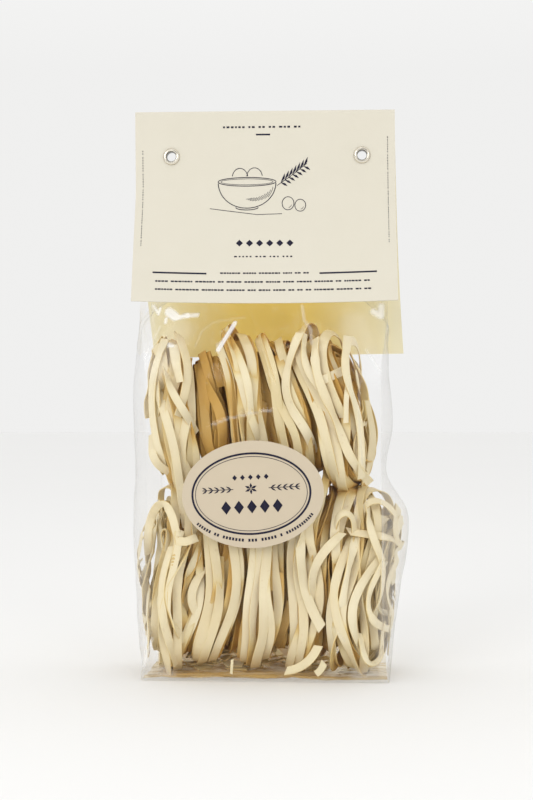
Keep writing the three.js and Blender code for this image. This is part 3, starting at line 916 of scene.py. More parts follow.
# For each, the (x, z) places it passes, its width, its twists as (share of its length, degrees), and
# the slants its two ends are cut at, or None where an end is tucked in between the others.
LOOSE_RIBBONS = [
    # over the left upper nest
    ([(-50.5, 166.0), (-55.3, 148.0), (-56.4, 131.4), (-53.6, 115.0), (-49.9, 101.0)],
     4.2, [], (None, None)),
    ([(-45.6, 163.0), (-43.4, 153.0), (-41.2, 144.6)], 5.0, [(0.1, 20)], (None, -0.1)),
    ([(-50.2, 154.5), (-46.7, 142.2), (-39.2, 130.7), (-34.4, 119.8)],
     4.0, [(0.2, 30)], (None, None)),
    ([(-52.5, 139.5), (-47.7, 125.7), (-44.3, 113.0), (-42.6, 98.7), (-40.4, 84.5), (-38.5, 74.0)],
     4.3, [(0.6, 30)], (None, None)),
    ([(-57.0, 119.0), (-56.1, 110.5), (-53.6, 104.3), (-47.9, 100.5)],
     4.0, [(0.6, 40)], (None, None)),
    # over the middle and right upper nests
    ([(23.6, 143.6), (31.0, 147.0), (38.4, 150.6)], 4.4, [], (0.3, None)),
    ([(18.6, 168.5), (18.6, 156.0), (21.2, 149.0), (25.6, 143.2)], 4.0, [(0.3, 40)], (None, 0.4)),
    ([(16.6, 168.5), (11.6, 156.0), (9.1, 144.5), (9.8, 136.0), (15.0, 127.8),
      (21.4, 120.2), (23.6, 110.0)],
     4.6, [], (None, None)),
    ([(24.4, 166.0), (23.2, 157.4), (25.7, 144.9), (34.8, 125.2), (40.6, 107.8), (50.8, 95.2)],
     4.5, [(0.5, 20)], (None, None)),
    ([(39.9, 167.0), (39.2, 160.8), (37.7, 151.2), (41.0, 141.0), (45.4, 128.0),
      (46.8, 112.0), (46.4, 98.0)],
     4.4, [(0.4, 25)], (None, None)),
    ([(40.4, 146.8), (39.2, 137.8), (39.0, 125.0)], 2.6, [(0.7, 30)], (None, 0.1)),
    # over the nests at the lower right
    ([(39.9, 72.4), (46.0, 71.4), (53.2, 70.7), (60.0, 69.6), (65.2, 67.4), (68.4, 64.4)],
     4.0, [(0.8, 35)], (0.9, None)),
    ([(46.6, 79.0), (47.2, 86.4), (50.8, 89.0), (56.5, 87.6), (62.0, 83.0), (66.0, 76.0), (67.0, 66.0)],
     3.8, [(0.1, 65), (0.4, 55), (0.7, 65), (0.95, 50)], (None, None)),
    ([(49.4, 84.4), (50.4, 72.1), (55.6, 62.5), (58.2, 52.9), (57.0, 42.3), (52.0, 31.0)],
     4.0, [(0.15, 55), (0.45, 55), (0.8, 40)], (None, None)),
    ([(56.6, 60.5), (47.4, 50.0), (41.6, 38.7), (41.6, 26.7), (46.4, 15.0)],
     4.5, [(0.1, 30), (0.6, -20)], (None, None)),
    ([(57.4, 58.0), (50.8, 46.7), (48.4, 37.7), (50.6, 29.9), (56.4, 25.0), (62.8, 24.5)],
     4.0, [(0.5, 25), (0.85, 50)], (None, None)),
    ([(46.0, 23.0), (47.2, 11.4), (50.4, 6.0), (54.6, 6.6), (57.2, 13.0), (58.8, 29.0)],
     3.4, [(0.3, 35), (0.6, 55), (0.9, 50)], (None, None)),
    ([(17.1, 73.7), (17.1, 59.2), (18.5, 44.7), (23.3, 31.9), (27.5, 25.5)],
     5.0, [(0.3, 20)], (None, 0.4)),
    ([(37.4, 72.2), (28.4, 63.5), (23.0, 54.8), (21.9, 45.3), (25.1, 34.5)],
     4.4, [(0.5, 25)], (0.5, None)),
    ([(44.6, 71.6), (40.4, 56.7), (37.4, 40.7), (36.3, 28.9)], 4.7, [(0.4, 25)], (None, None)),
    ([(33.5, 72.9), (34.4, 80.0), (38.6, 83.6), (42.8, 80.0), (43.2, 71.6)],
     3.8, [(0.3, 45), (0.7, 45)], (None, None)),
    # over the nests at the lower left
    ([(-58.4, 60.0), (-57.4, 74.5), (-55.6, 83.7), (-50.6, 89.0), (-46.4, 87.0),
      (-43.8, 78.5), (-41.4, 64.3)],
     4.0, [(0.2, 40), (0.7, 35)], (None, None)),
    ([(-50.8, 62.2), (-52.2, 71.4), (-49.4, 76.0), (-46.6, 72.2), (-48.2, 65.0), (-49.4, 56.4)],
     2.8, [(0.3, 60), (0.7, 60)], (None, None)),
    ([(-45.4, 64.7), (-50.4, 49.2), (-50.0, 31.5), (-46.4, 18.0), (-44.5, 6.0)],
     4.4, [(0.4, -30), (0.8, 25)], (None, None)),
    ([(-40.9, 73.0), (-43.4, 55.6), (-48.0, 42.7), (-46.1, 30.4), (-40.2, 18.3)],
     4.2, [(0.75, 50)], (None, None)),
    ([(-30.0, 54.0), (-36.6, 43.5), (-36.3, 35.0), (-30.5, 26.7)], 4.2, [(0.5, 30)], (None, None)),
    ([(-43.2, 68.2), (-38.4, 67.6), (-33.0, 69.4)], 4.0, [], (0.3, None)),
]
TUCKED = (6.0, 14.0)  # how deep a tucked end goes between the other ribbons, and over what length
PROPPED_ENDS = [  # x, y, z, heading, length, width and bend of ends caught between nests and film
    (19.5, -29.0, 9.0, 38, 20.0, 4.2, 0.5),
    (-16.0, -29.5, 7.2, 86, 7.0, 1.4, 0.0),
    (27.0, -27.0, 6.0, 55, 7.0, 3.4, 0.3),
]
BROKEN_ENDS = 60
BROKEN_LENGTH = (5, 16)
BED_HEIGHT, BED_DEPTH = 1.0, 80.0  # the bag's floor, which the broken ends come to lie on
BED_X, BED_Y = (-48, 48), (-3, 23)
FRONT_FROM = 14.0

front = flat_heap(int(HEAP_TALL / STEP), FRONT_FROM)
for points in nest_points + side_points:
    ahead = points[points[:, 1] < -FRONT_FROM]
    np.maximum.at(front, cells(front, ahead[:, 2], ahead[:, 0]), -ahead[:, 1])
front = np.maximum(front, np.maximum(np.roll(front, 1, 1), np.roll(front, -1, 1)))


def smooth_line(line):
    """A rounded curve through the points of a line, one step between its points."""
    line = np.asarray(line, float)
    run = np.concatenate([[0], np.cumsum(np.linalg.norm(np.diff(line, axis=0), axis=1))])
    at = np.linspace(0, run[-1], max(4, int(run[-1] / STEP) + 1))
    reach = min(4.0, len(at) / 8)
    columns = [np.interp(at, run, values) for values in line.T]
    past = 12
    if len(at) > past + 1:
        for k, fine in enumerate(columns):
            before, after = 2 * fine[0] - fine[past:0:-1], 2 * fine[-1] - fine[-2 : -past - 2 : -1]
            columns[k] = softened(np.concatenate([before, fine, after]), reach)[past:-past]
    return np.stack(columns, 1)


draw = np.random.default_rng(3)
parts, tones = [], []
for line, width, twists, cut in LOOSE_RIBBONS:
    line = smooth_line(line)
    count = len(line)
    twist = np.zeros(count)
    for where, degrees in twists:
        twist += math.radians(degrees) * bell(np.arange(count), where * count, 5)
    twist += wander(count, draw, 0.2, 30, 90)
    height, turn = lay(front, line[:, 1], line[:, 0], width, twist, 0.1 + 0 * twist, 0.035)
    for slant, from_end in zip(cut, (np.arange(count), np.arange(count)[::-1])):
        if slant is None:
            height = height - TUCKED[0] * np.clip(1 - from_end * STEP / TUCKED[1], 0, 1) ** 1.5
    dz, dx = course(line[:, 1], line[:, 0])
    up = turned(np.array([0, -1.0, 0]), np.stack([dz, 0 * dz, -dx], 1), turn)
    path = np.stack([line[:, 0], -height, line[:, 1]], 1)
    parts.append(ribbon(path, up, width, RIBBON_THICKNESS, draw, [slant or 0 for slant in cut]))
    tones.append(draw.uniform(0.3, 0.8))
loose, points, _ = pasta("loose_ribbons", parts, tones)
x, z = points[::CORNERS, 0], points[::CORNERS, 2]
# painted shade: each face counted as a fixed share closed in
paint(loose, "deep", painted_shade_tone(0.6 + 0 * x, 0.08 + 0 * x, x, z))

parts, tones, inside = [], [], []
for x, y, z, heading, length, width, bend in PROPPED_ENDS:
    along = np.linspace(-0.5, 0.5, max(5, int(length / STEP))) * length
    a = math.radians(heading)
    curve = bend * (along / length * 2) ** 2 * length / 4
    down = z + along * math.sin(a) + curve
    path = np.stack([x + along * math.cos(a) - curve * math.sin(a), y + 0 * along, down], 1)
    up = np.array([0.1, -0.85, 0.5]) + 0 * path
    parts.append(ribbon(path, up, width, RIBBON_THICKNESS, draw, draw.uniform(-0.6, 0.6, 2)))
    tones.append(draw.uniform(0.3, 0.8))
    inside.append(np.full(len(path), 0.3))
heap = flat_heap(int(BED_DEPTH / STEP), BED_HEIGHT)
for _ in range(BROKEN_ENDS):
    length, a = draw.uniform(*BROKEN_LENGTH), draw.uniform(0, math.pi)
    along = np.linspace(-0.5, 0.5, max(5, int(length / STEP))) * length
    curve = draw.uniform(-0.5, 0.5) * (along / length * 2) ** 2 * length / 4
    x = draw.uniform(*BED_X) + along * math.cos(a) - curve * math.sin(a)
    y = draw.uniform(*BED_Y) + along * math.sin(a) * 0.6 + curve * math.cos(a)
    width = RIBBON_WIDTH * draw.uniform(0.7, 1.0)
    height, turn = lay(heap, y + BED_DEPTH / 2, x, width, 0 * x + draw.uniform(-0.3, 0.3), 0.05, 0.01)
    dy, dx = course(y, x)
    up = turned(np.array([0, 0, 1.0]), np.stack([dy, -dx, 0 * dx], 1), turn)
    path = np.stack([x, y, height], 1)
    parts.append(ribbon(path, up, width, RIBBON_THICKNESS, draw, draw.uniform(-0.6, 0.6, 2)))
    tones.append(draw.uniform(0.1, 0.6))
    inside.append(np.full(len(x), draw.uniform(0.3, 0.5)))
ends, points, _ = pasta("broken_ends", parts, tones)
# painted shade: each end counted as a fixed share closed in
closed = np.concatenate(inside)
paint(ends, "deep", painted_shade_tone(closed, closed, points[::CORNERS, 0], points[::CORNERS, 2]))

# ---------------------------------------------------------------- header card
# One sheet of uncoated cream board, folded over the flat top of the bag and held by the eyelets.
# Its front panel ends above the pasta, its back panel hangs lower; the shoulders push both out.

CARD_WIDTH = 130.0
CARD_THICKNESS = 0.5
CARD_GAP = 0.3
PANELS = {
    "front": dict(face=-1, length=101.5, lean=20.2, flare=3.0, drift=0.6, skew=0.0),
    "back": dict(face=1, length=128.0, lean=21.8, flare=0.0, drift=4.4, skew=2.2),
}
BEND_LENGTH = 20.0
BEND_STEPS = 40


def card_point(panel, u, along, offset):
    """Points of a card panel: u across, along from the fold, offset outwards from its middle."""
    u, along = np.broadcast_arrays(np.asarray(u, float), np.asarray(along, float))
    fold = FLAT_THICKNESS / 2 + CARD_GAP + CARD_THICKNESS / 2
    quarter = fold * math.pi / 2
    bend = CARD_TOP - PINCH_HEIGHT - fold + quarter
    lean = np.radians(panel["lean"] + panel["flare"] * (2 * u / CARD_WIDTH) ** 2)
    turn = np.minimum(along, quarter) / fold
    angle = math.pi / 2 - turn
    out = fold * np.sin(turn)
    z = CARD_TOP - fold + fold * np.cos(turn)
    bent = (bend - BEND_LENGTH / 2, bend + BEND_LENGTH / 2)
    stretch = np.maximum(0, along - quarter) / BEND_STEPS
    for i in range(BEND_STEPS):
        here = lean * ease(quarter + (i + 0.5) * stretch, *bent)
        angle = np.where(stretch > 0, here, angle)
        out = out + np.sin(here) * stretch
        z = z - np.cos(here) * stretch
    angle = np.where(along > quarter, lean * ease(along, *bent), angle)
    out = out + offset * np.cos(angle)
    z = z + offset * np.sin(angle)
    x = lean_at(z) + u + panel["drift"] * (along / panel["length"]) ** 2
    return np.stack([x, panel["face"] * out, z], -1)


card_board, card_shader, add, join = finish_nodes("cream_board", (0.83, 0.785, 0.665), 0.75)
place = add("ShaderNodeTexCoord")
pulp = add("ShaderNodeTexNoise", Scale=1400.0, Detail=3.0)
blotch = add("ShaderNodeTexNoise", Scale=60.0, Detail=4.0)
board_color = add("ShaderNodeMix", data_type="RGBA")
board_color.inputs["A"].default_value = (0.70, 0.66, 0.55, 1)
board_color.inputs["B"].default_value = (0.73, 0.69, 0.585, 1)
tooth = add("ShaderNodeBump", Strength=0.15, Distance=0.0001)
join(place.outputs["Object"], pulp.inputs["Vector"])
join(place.outputs["Object"], blotch.inputs["Vector"])
join(blotch.outputs["Fac"], board_color.inputs["Factor"])
join(board_color.outputs["Result"], card_shader.inputs["Base Color"])
join(pulp.outputs["Fac"], tooth.inputs["Height"])
join(tooth.outputs["Normal"], card_shader.inputs["Normal"])

# The inside of the board is painted light. Amber towards the middle stands for light bounced off the
# dough, and a faint emission stands for light let through the board. Both grow towards the middle, where
# the front panel shades it.
inner_board, inner_shader, add, join = finish_nodes("board_back", (0.93, 0.80, 0.50), 0.7)
place = add("ShaderNodeTexCoord")
split = add("ShaderNodeSeparateXYZ")
pulp = add("ShaderNodeTexNoise", Scale=1400.0, Detail=3.0)
middle = add("ShaderNodeMath", operation="ABSOLUTE")
painted_bounce_range = add("ShaderNodeMapRange")
painted_bounce_range.inputs["From Min"].default_value = 0.064
painted_bounce_range.inputs["From Max"].default_value = 0.018
painted_bounce_light = add("ShaderNodeMix", data_type="RGBA")
painted_bounce_light.inputs["A"].default_value = (0.82, 0.77, 0.55, 1)
painted_bounce_light.inputs["B"].default_value = (0.85, 0.70, 0.25, 1)
tooth = add("ShaderNodeBump", Strength=0.15, Distance=0.0001)
join(place.outputs["Object"], split.inputs[0])
join(place.outputs["Object"], pulp.inputs["Vector"])
join(split.outputs["X"], middle.inputs[0])
join(middle.outputs[0], painted_bounce_range.inputs["Value"])
join(painted_bounce_range.outputs[0], painted_bounce_light.inputs["Factor"])
painted_glow = add("ShaderNodeMix", data_type="RGBA")
painted_glow.inputs["A"].default_value = (0.07, 0.07, 0.06, 1)
painted_glow.inputs["B"].default_value = (0.19, 0.14, 0.03, 1)
inner_shader.inputs["Emission Strength"].default_value = 1.0
join(painted_bounce_range.outputs[0], painted_glow.inputs["Factor"])
join(painted_glow.outputs["Result"], inner_shader.inputs["Emission Color"])
join(painted_bounce_light.outputs["Result"], inner_shader.inputs["Base Color"])
join(pulp.outputs["Fac"], tooth.inputs["Height"])
join(tooth.outputs["Normal"], inner_shader.inputs["Normal"])

columns, rows = 52, 160
u = np.linspace(-CARD_WIDTH / 2, CARD_WIDTH / 2, columns + 1)
card_points = []
for offset in (0.5 * CARD_THICKNESS, -0.5 * CARD_THICKNESS):
    for v in np.linspace(-1, 1, rows + 1):
        panel = PANELS["front" if v < 0 else "back"]
        along = v * v * (panel["length"] - panel["skew"] * u / CARD_WIDTH)
        card_points.append(card_point(panel, u, along, offset))
card_points = np.concatenate(card_points)


def slab_faces(rows, columns):
    """Faces of a closed slab: an outer grid, an inner grid and the rim between them."""
    faces = []
    across = columns + 1
    under = (rows + 1) * across
    for r in range(rows):
        for c in range(columns):
            a = r * across + c
            quad = (a, a + 1, a + 1 + across, a + across)
            faces.append(quad)
            faces.append(tuple(v + under for v in reversed(quad)))
    rim = [c for c in range(across)] + [r * across + columns for r in range(1, rows + 1)]
    rim += [rows * across + c for c in range(columns - 1, -1, -1)]
    rim += [r * across for r in range(rows - 1, 0, -1)]
    for a, b in zip(rim, rim[1:] + rim[:1]):
        faces.append((b, a, a + under, b + under))
    return faces


EYELETS = {
    name: 500 * (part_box(name)[0][0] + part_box(name)[1][0]) for name in ("eyelet_left", "eyelet_right")
}
EYELET_HEIGHT = 500 * (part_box("eyelet_left")[0][2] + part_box("eyelet_left")[1][2])
PUNCH_RADIUS = 3.0
PUNCH_DEPTH = 12.0


def punched(made):
    """The two eyelet holes, cut through a piece."""
    for x in EYELETS.values():
        punch = bpy.data.meshes.new("punch")
        tool = bmesh.new()
        size = dict(radius1=PUNCH_RADIUS * MM, radius2=PUNCH_RADIUS * MM, depth=PUNCH_DEPTH * MM)
        bmesh.ops.create_cone(tool, cap_ends=True, segments=48, **size)
        bmesh.ops.rotate(tool, verts=tool.verts, matrix=Matrix.Rotation(math.pi / 2, 3, "X"))
        bmesh.ops.translate(tool, verts=tool.verts, vec=(x * MM, 0, EYELET_HEIGHT * MM))
        tool.to_mesh(punch)
        tool.free()
        cutter = bpy.data.objects.new("punch", punch)
        bpy.context.scene.collection.objects.link(cutter)
        cut = made.modifiers.new("eyelet hole", "BOOLEAN")
        cut.material_mode = "TRANSFER"
        cut.operation = "DIFFERENCE"
        cut.solver = "EXACT"
        cut.object = cutter
        bpy.context.view_layer.update()
        cut_through = made.evaluated_get(bpy.context.evaluated_depsgraph_get())
        done = bpy.data.meshes.new_from_object(cut_through)
        made.modifiers.clear()
        made.data = done
        bpy.data.objects.remove(cutter)
    made.data.set_sharp_from_angle(angle=math.radians(40))


board_faces = slab_faces(rows, columns)
under = (rows + 1) * (columns + 1)
header = piece("header_board", card_points, board_faces, card_board, "card", "header_card")
header.data.materials.append(inner_board)
header.data.polygons.foreach_set("material_index", [int(min(face) >= under) for face in board_faces])
punched(header)
punched(bag_film)

# ---------------------------------------------------------------- eyelets
# Bright nickel-plated steel eyelets, pressed through card and film and rolled over at the back.
# They are open rings whose barrel is painted dark as shade: the background shows through.

nickel, nickel_shader, add, join = finish_nodes("nickel_plate", (0.80, 0.80, 0.79), 0.22)
nickel_shader.inputs["Metallic"].default_value = 1.0
place = add("ShaderNodeTexCoord")
handling = add("ShaderNodeTexNoise", Scale=600.0, Detail=2.0)
dull = add("ShaderNodeMapRange")
dull.inputs["To Min"].default_value = 0.14
dull.inputs["To Max"].default_value = 0.34
join(place.outputs["Object"], handling.inputs["Vector"])
join(handling.outputs["Fac"], dull.inputs["Value"])
join(dull.outputs[0], nickel_shader.inputs["Roughness"])
rolled = add("ShaderNodeAttribute", attribute_name="rolled_lip")
plating_and_barrel_shade = add("ShaderNodeMix", data_type="RGBA")
plating_and_barrel_shade.inputs["A"].default_value = (0.085, 0.08, 0.065, 1)
plating_and_barrel_shade.inputs["B"].default_value = (0.76, 0.71, 0.61, 1)
join(rolled.outputs["Fac"], plating_and_barrel_shade.inputs["Factor"])
join(plating_and_barrel_shade.outputs["Result"], nickel_shader.inputs["Base Color"])

LIP_RADIUS, LIP_WIDTH = 2.4, 0.45  # where the painted shade in the barrel ends, and how soft its edge is
SEAT = FLAT_THICKNESS / 2 + CARD_GAP + CARD_THICKNESS + CARD_GAP
EYELET_SECTION = [  # radius, and place along the barrel from front to back
    (2.35, -SEAT - 0.35), (2.42, -SEAT - 0.62), (2.62, -SEAT - 0.84), (2.95, -SEAT - 0.94),
    (3.35, -SEAT - 0.9), (3.75, -SEAT - 0.68), (4.02, -SEAT - 0.4), (4.15, -SEAT - 0.12),
    (4.08, -SEAT - 0.02), (3.7, -SEAT), (2.75, -SEAT), (2.7, -SEAT + 0.05),
    (2.7, SEAT - 0.05), (2.75, SEAT), (3.6, SEAT), (3.7, SEAT + 0.12),
    (3.62, SEAT + 0.4), (3.3, SEAT + 0.62), (2.85, SEAT + 0.66), (2.5, SEAT + 0.45), (2.35, SEAT + 0.1),
]
for name, x in EYELETS.items():
    around = 72
    angles = 2 * math.pi * np.arange(around) / around
    points = [
        (x + radius * math.cos(a), along, EYELET_HEIGHT + radius * math.sin(a))
        for a in angles for radius, along in EYELET_SECTION
    ]
    size = len(EYELET_SECTION)
    faces = []
    for i in range(around):
        here, there = i * size, (i + 1) % around * size
        for k in range(size):
            faces.append((here + k, here + (k + 1) % size, there + (k + 1) % size, there + k))
    ring = piece(name + "_ring", points, faces, nickel, "eyelet", name)
    lip = [min(1, max(0, (radius - LIP_RADIUS) / LIP_WIDTH)) for radius, along in EYELET_SECTION]
    paint(ring, "rolled_lip", np.tile(lip, around))

# ---------------------------------------------------------------- oval label
# A die-cut sticker of tan uncoated paper on the front of the film. It follows the film's pillow.

LABEL_WIDTH = 68.3
LABEL_HEIGHT = 51.5
LABEL_THICKNESS = 0.3
LABEL_GAP = 0.3
LABEL_X, LABEL_Z = -5.5, 90.8
LABEL_TILT = math.radians(3)


def label_point(across, up, lift):
    """Points over the label: across and up in its own tilted frame, lift off the film."""
    x = LABEL_X + across * math.cos(LABEL_TILT) - up * math.sin(LABEL_TILT)
    z = LABEL_Z + across * math.sin(LABEL_TILT) + up * math.cos(LABEL_TILT)
    y = half_depth(z) + panel_swell(x - lean_at(z), z) + LABEL_GAP + lift
    return np.stack([x, -y, z], -1)


label_paper, label_shader, add, join = finish_nodes("tan_paper", (0.62, 0.51, 0.37), 0.6)
place = add("ShaderNodeTexCoord")
pulp = add("ShaderNodeTexNoise", Scale=1100.0, Detail=3.0)
mottle = add("ShaderNodeTexNoise", Scale=120.0, Detail=4.0)
paper_color = add("ShaderNodeMix", data_type="RGBA")
paper_color.inputs["A"].default_value = (0.59, 0.50, 0.365, 1)
paper_color.inputs["B"].default_value = (0.625, 0.53, 0.395, 1)
tooth = add("ShaderNodeBump", Strength=0.12, Distance=0.0001)
join(place.outputs["Object"], pulp.inputs["Vector"])
join(place.outputs["Object"], mottle.inputs["Vector"])
join(mottle.outputs["Fac"], paper_color.inputs["Factor"])
join(paper_color.outputs["Result"], label_shader.inputs["Base Color"])
join(pulp.outputs["Fac"], tooth.inputs["Height"])
join(tooth.outputs["Normal"], label_shader.inputs["Normal"])

around, spokes = 144, 24
angles = 2 * math.pi * np.arange(around) / around
label_rings = []
outwards, inwards = np.linspace(0.02, 1, spokes), np.linspace(1, 0.02, spokes)
for lift, shares in ((0.0, outwards), (LABEL_THICKNESS, inwards)):
    for share in shares:
        wide, high = share * LABEL_WIDTH / 2, share * LABEL_HEIGHT / 2
        label_rings.append(label_point(wide * np.cos(angles), high * np.sin(angles), lift))
label_points = np.concatenate(label_rings)
label_faces = rings(2 * spokes, around)
label = piece("label_paper", label_points, label_faces, label_paper, "label", "label")
label.data.set_sharp_from_angle(angle=math.radians(40))

# ---------------------------------------------------------------- print
# Flat navy ink on card and label: rules, rows of plain dashes, a line drawing of a bowl with eggs
# and a leafy sprig, and on the label a double oval with lozenges, sprigs and a flower. None of it
# is lettering.

ink, ink_shader, add, join = finish_nodes("navy_ink", (0.035, 0.037, 0.075), 0.5)
place = add("ShaderNodeTexCoord")
press = add("ShaderNodeTexNoise", Scale=1500.0, Detail=2.0)
ink_color = add("ShaderNodeMix", data_type="RGBA")
ink_color.inputs["A"].default_value = (0.008, 0.007, 0.024, 1)
ink_color.inputs["B"].default_value = (0.018, 0.016, 0.042, 1)
ink_shader.inputs["Specular IOR Level"].default_value = 0.25
join(place.outputs["Object"], press.inputs["Vector"])
join(press.outputs["Fac"], ink_color.inputs["Factor"])
join(ink_color.outputs["Result"], ink_shader.inputs["Base Color"])

INK_LIFT = 0.04
INK_THICKNESS = 0.05


def stroke(surface, line, width, step=1.5):
    """A printed stroke along a line of (across, up) points; width is one number or one a point."""
    line = np.asarray(line, float)
    width = np.broadcast_to(np.asarray(width, float), len(line))
    run = np.concatenate([[0], np.cumsum(np.linalg.norm(np.diff(line, axis=0), axis=1))])
    at = np.unique(np.concatenate([run, np.linspace(0, run[-1], max(2, int(run[-1] / step) + 1))]))
    at = at[np.concatenate([[True], np.diff(at) > 1e-6])]
    middle = np.stack([np.interp(at, run, line[:, 0]), np.interp(at, run, line[:, 1])], 1)
    half = np.interp(at, run, width)[:, None] / 2
    way = np.gradient(middle, axis=0)
    way /= np.linalg.norm(way, axis=1)[:, None]
    aside = np.stack([-way[:, 1], way[:, 0]], 1) * half
    left, right = middle + aside, middle - aside
    top, low = INK_LIFT + INK_THICKNESS, INK_LIFT
    loop = [surface(*left.T, low), surface(*right.T, low), surface(*right.T, top), surface(*left.T, top)]
    return np.stack(loop, 1).reshape(-1, 3), rings(len(middle), 4)


def arc(x, z, across, up, start, end, count=24):
    """Points along part of an oval round (x, z), from one angle to another in degrees."""
    turn = np.radians(np.linspace(start, end, count))
    return np.stack([x + across * np.cos(turn), z + up * np.sin(turn)], 1)


def lozenge(surface, x, row, half_wide, tall, tip, step):
    return stroke(surface, [(x - half_wide, row), (x, row), (x + half_wide, row)], [tip, tall, tip], step)


def dashes(start, end, row, height, seed, gap=0.45, tall=False):
    """A row of short plain dashes of uneven length, grouped as words are."""
    draw = np.random.default_rng(seed)
    marks, x = [], start
    while x < end:
        for _ in range(draw.integers(2, 8)):
            size = draw.uniform(0.6, 1.25) * height
            if x + size > end:
                break
            mark = [(x, row), (x + size, row)]
            marks.append([(b, a) for a, b in mark] if tall else mark)
            x += size + gap * height * 0.55
        x += height * 0.9
    return marks


def on_card(across, along, lift):
    return card_point(PANELS["front"], across, along, CARD_THICKNESS / 2 + lift)


PRINT_SHIFT = (-0.7, -0.35)  # the label's print is a little off its middle


def on_label(across, up, lift):
    return label_point(across + PRINT_SHIFT[0], up + PRINT_SHIFT[1], LABEL_THICKNESS + lift)


card_strokes = []
for marks, width in (
    (dashes(-20.8, 19.3, 8.6, 1.3, 3, gap=1.1), 0.9),
    ([[(-4.3, 12.4), (2.8, 12.4)]], 0.8),
    ([[(-55.0, 85.6), (-28.5, 85.9)], [(27.0, 85.9), (55.0, 85.6)]], 0.85),
    (dashes(-21.8, 22.0, 85.6, 1.2, 7), 0.75),
    (dashes(-53.5, 53.0, 90.3, 1.3, 9), 0.8),
    (dashes(-53.5, 53.0, 94.7, 1.3, 10), 0.8),
    (dashes(-15.0, 14.5, 76.6, 1.1, 12, gap=1.6), 0.7),
    (dashes(20.0, 71.0, -61.3, 0.7, 14, gap=1.5, tall=True), 0.36),
    (dashes(14.0, 70.0, 61.3, 0.7, 15, gap=1.5, tall=True), 0.36),
):
    card_strokes += [stroke(on_card, mark, width) for mark in marks]
for k in range(6):  # a row of lozenges where a title would be
    card_strokes.append(lozenge(on_card, -12.5 + 5.0 * k, 69.3, 1.7, 3.6, 0.1, 0.6))

BOWL_X, BOWL_RIM, BOWL_WIDE, BOWL_DEEP = -9.0, 36.0, 14.5, 14.0
drawing = [
    (arc(BOWL_X, BOWL_RIM, BOWL_WIDE, 2.2, 0, 360, 48), 0.38),
    (arc(BOWL_X, BOWL_RIM, BOWL_WIDE - 1.4, 1.5, 0, 360, 44), 0.22),
    (arc(BOWL_X, BOWL_RIM, BOWL_WIDE, BOWL_DEEP, 3, 177, 40), 0.42),
    (arc(BOWL_X, BOWL_RIM + 13.6, 5.6, 1.4, 0, 180, 16), 0.4),
    (arc(BOWL_X - 3.5, 34.0, 3.9, 4.8, 190, 350, 24), 0.34),
    (arc(BOWL_X + 3.8, 33.6, 3.9, 4.6, 185, 352, 24), 0.34),
]
for k in range(9):  # hatching down the bowl's shaded side
    a = 12 + 7 * k
    wide, high = BOWL_WIDE - 1.2 - 0.8 * k, BOWL_DEEP - 1.0 - 0.5 * k
    drawing.append((arc(BOWL_X, BOWL_RIM, wide, high, a, a + 26, 8), 0.2))
for x, z, size in ((11.5, 47.5, 3.6), (17.6, 48.6, 3.3)):  # two eggs beside it
    drawing.append((arc(x, z, size * 0.82, size, 0, 360, 32), 0.34))
    drawing.append((arc(x, z, size * 0.5, size * 0.66, 20, 80, 8), 0.2))
for k in range(7):  # the leaves of a sprig
    x, z = 8.0 + 1.9 * k, 36.5 - 1.35 * k
    for way in (-1, 1):
        tip = (x + 2.6 + 0.6 * way, z + 3.2 * way - 1.4)
        middle = ((x + tip[0]) / 2 + 0.3, (z + tip[1]) / 2)
        card_strokes.append(stroke(on_card, [(x, z), middle, tip], [0.15, 1.15, 0.1], step=0.5))
drawing.append(([(6.0, 38.0), (13.0, 33.2), (21.0, 27.0)], 0.3))  # its stem
drawing.append(([(-27.5, 50.2), (-4.0, 53.6), (8.5, 53.2)], 0.3))  # the table
for line, width in drawing:
    card_strokes.append(stroke(on_card, line, width, step=0.8))
points, faces = gathered(card_strokes)
piece("card_print", points, faces, ink, "ink")

RING_WIDE, RING_HIGH, RING_MIDDLE = 28.4, 19.3, 0.7
SPRIG_ROW = 3.1
RIM_START, RIM_SWEEP = 216, 113  # the dashes round the lower rim, in degrees
RIM_DASHES = 42
RIM_GAPS = (6, 9, 17, 21, 27, 29)
label_strokes = [
    stroke(on_label, arc(0, RING_MIDDLE, RING_WIDE, RING_HIGH, 0, 360, 120), 0.95),
    stroke(on_label, arc(0, RING_MIDDLE, RING_WIDE - 1.5, RING_HIGH - 1.5, 0, 360, 120), 0.28),
    stroke(on_label, [(-23.5, SPRIG_ROW), (-8.5, SPRIG_ROW)], 0.3),
    stroke(on_label, [(8.5, SPRIG_ROW), (23.5, SPRIG_ROW)], 0.3),
]
for k in range(5):  # a row of bold lozenges
    label_strokes.append(lozenge(on_label, -12.4 + 6.2 * k, -5.6, 2.3, 6.4, 0.15, 0.5))
for k in range(5):  # and a row of small ones
    label_strokes.append(lozenge(on_label, -7.6 + 3.8 * k, 8.6, 1.1, 2.6, 0.1, 0.4))
for k in range(6):  # a flower of six petals between two sprigs
    a = math.radians(60 * k + 30)
    root = (0.3 * math.cos(a), SPRIG_ROW + 0.3 * math.sin(a))
    half = (1.7 * math.cos(a), SPRIG_ROW + 1.45 * math.sin(a))
    tip = (3.1 * math.cos(a), SPRIG_ROW + 2.6 * math.sin(a))
    label_strokes.append(stroke(on_label, [root, half, tip], [0.2, 1.2, 0.15], step=0.4))
for side in (-1, 1):
    for k in range(5):
        x = side * (9.6 + 2.9 * k)
        for way in (-1, 1):
            leaf = [(x, SPRIG_ROW), (x + side * 1.0, SPRIG_ROW + way * 0.75)]
            leaf.append((x + side * 2.3, SPRIG_ROW + way * 1.5))
            label_strokes.append(stroke(on_label, leaf, [0.15, 0.8, 0.1], step=0.5))
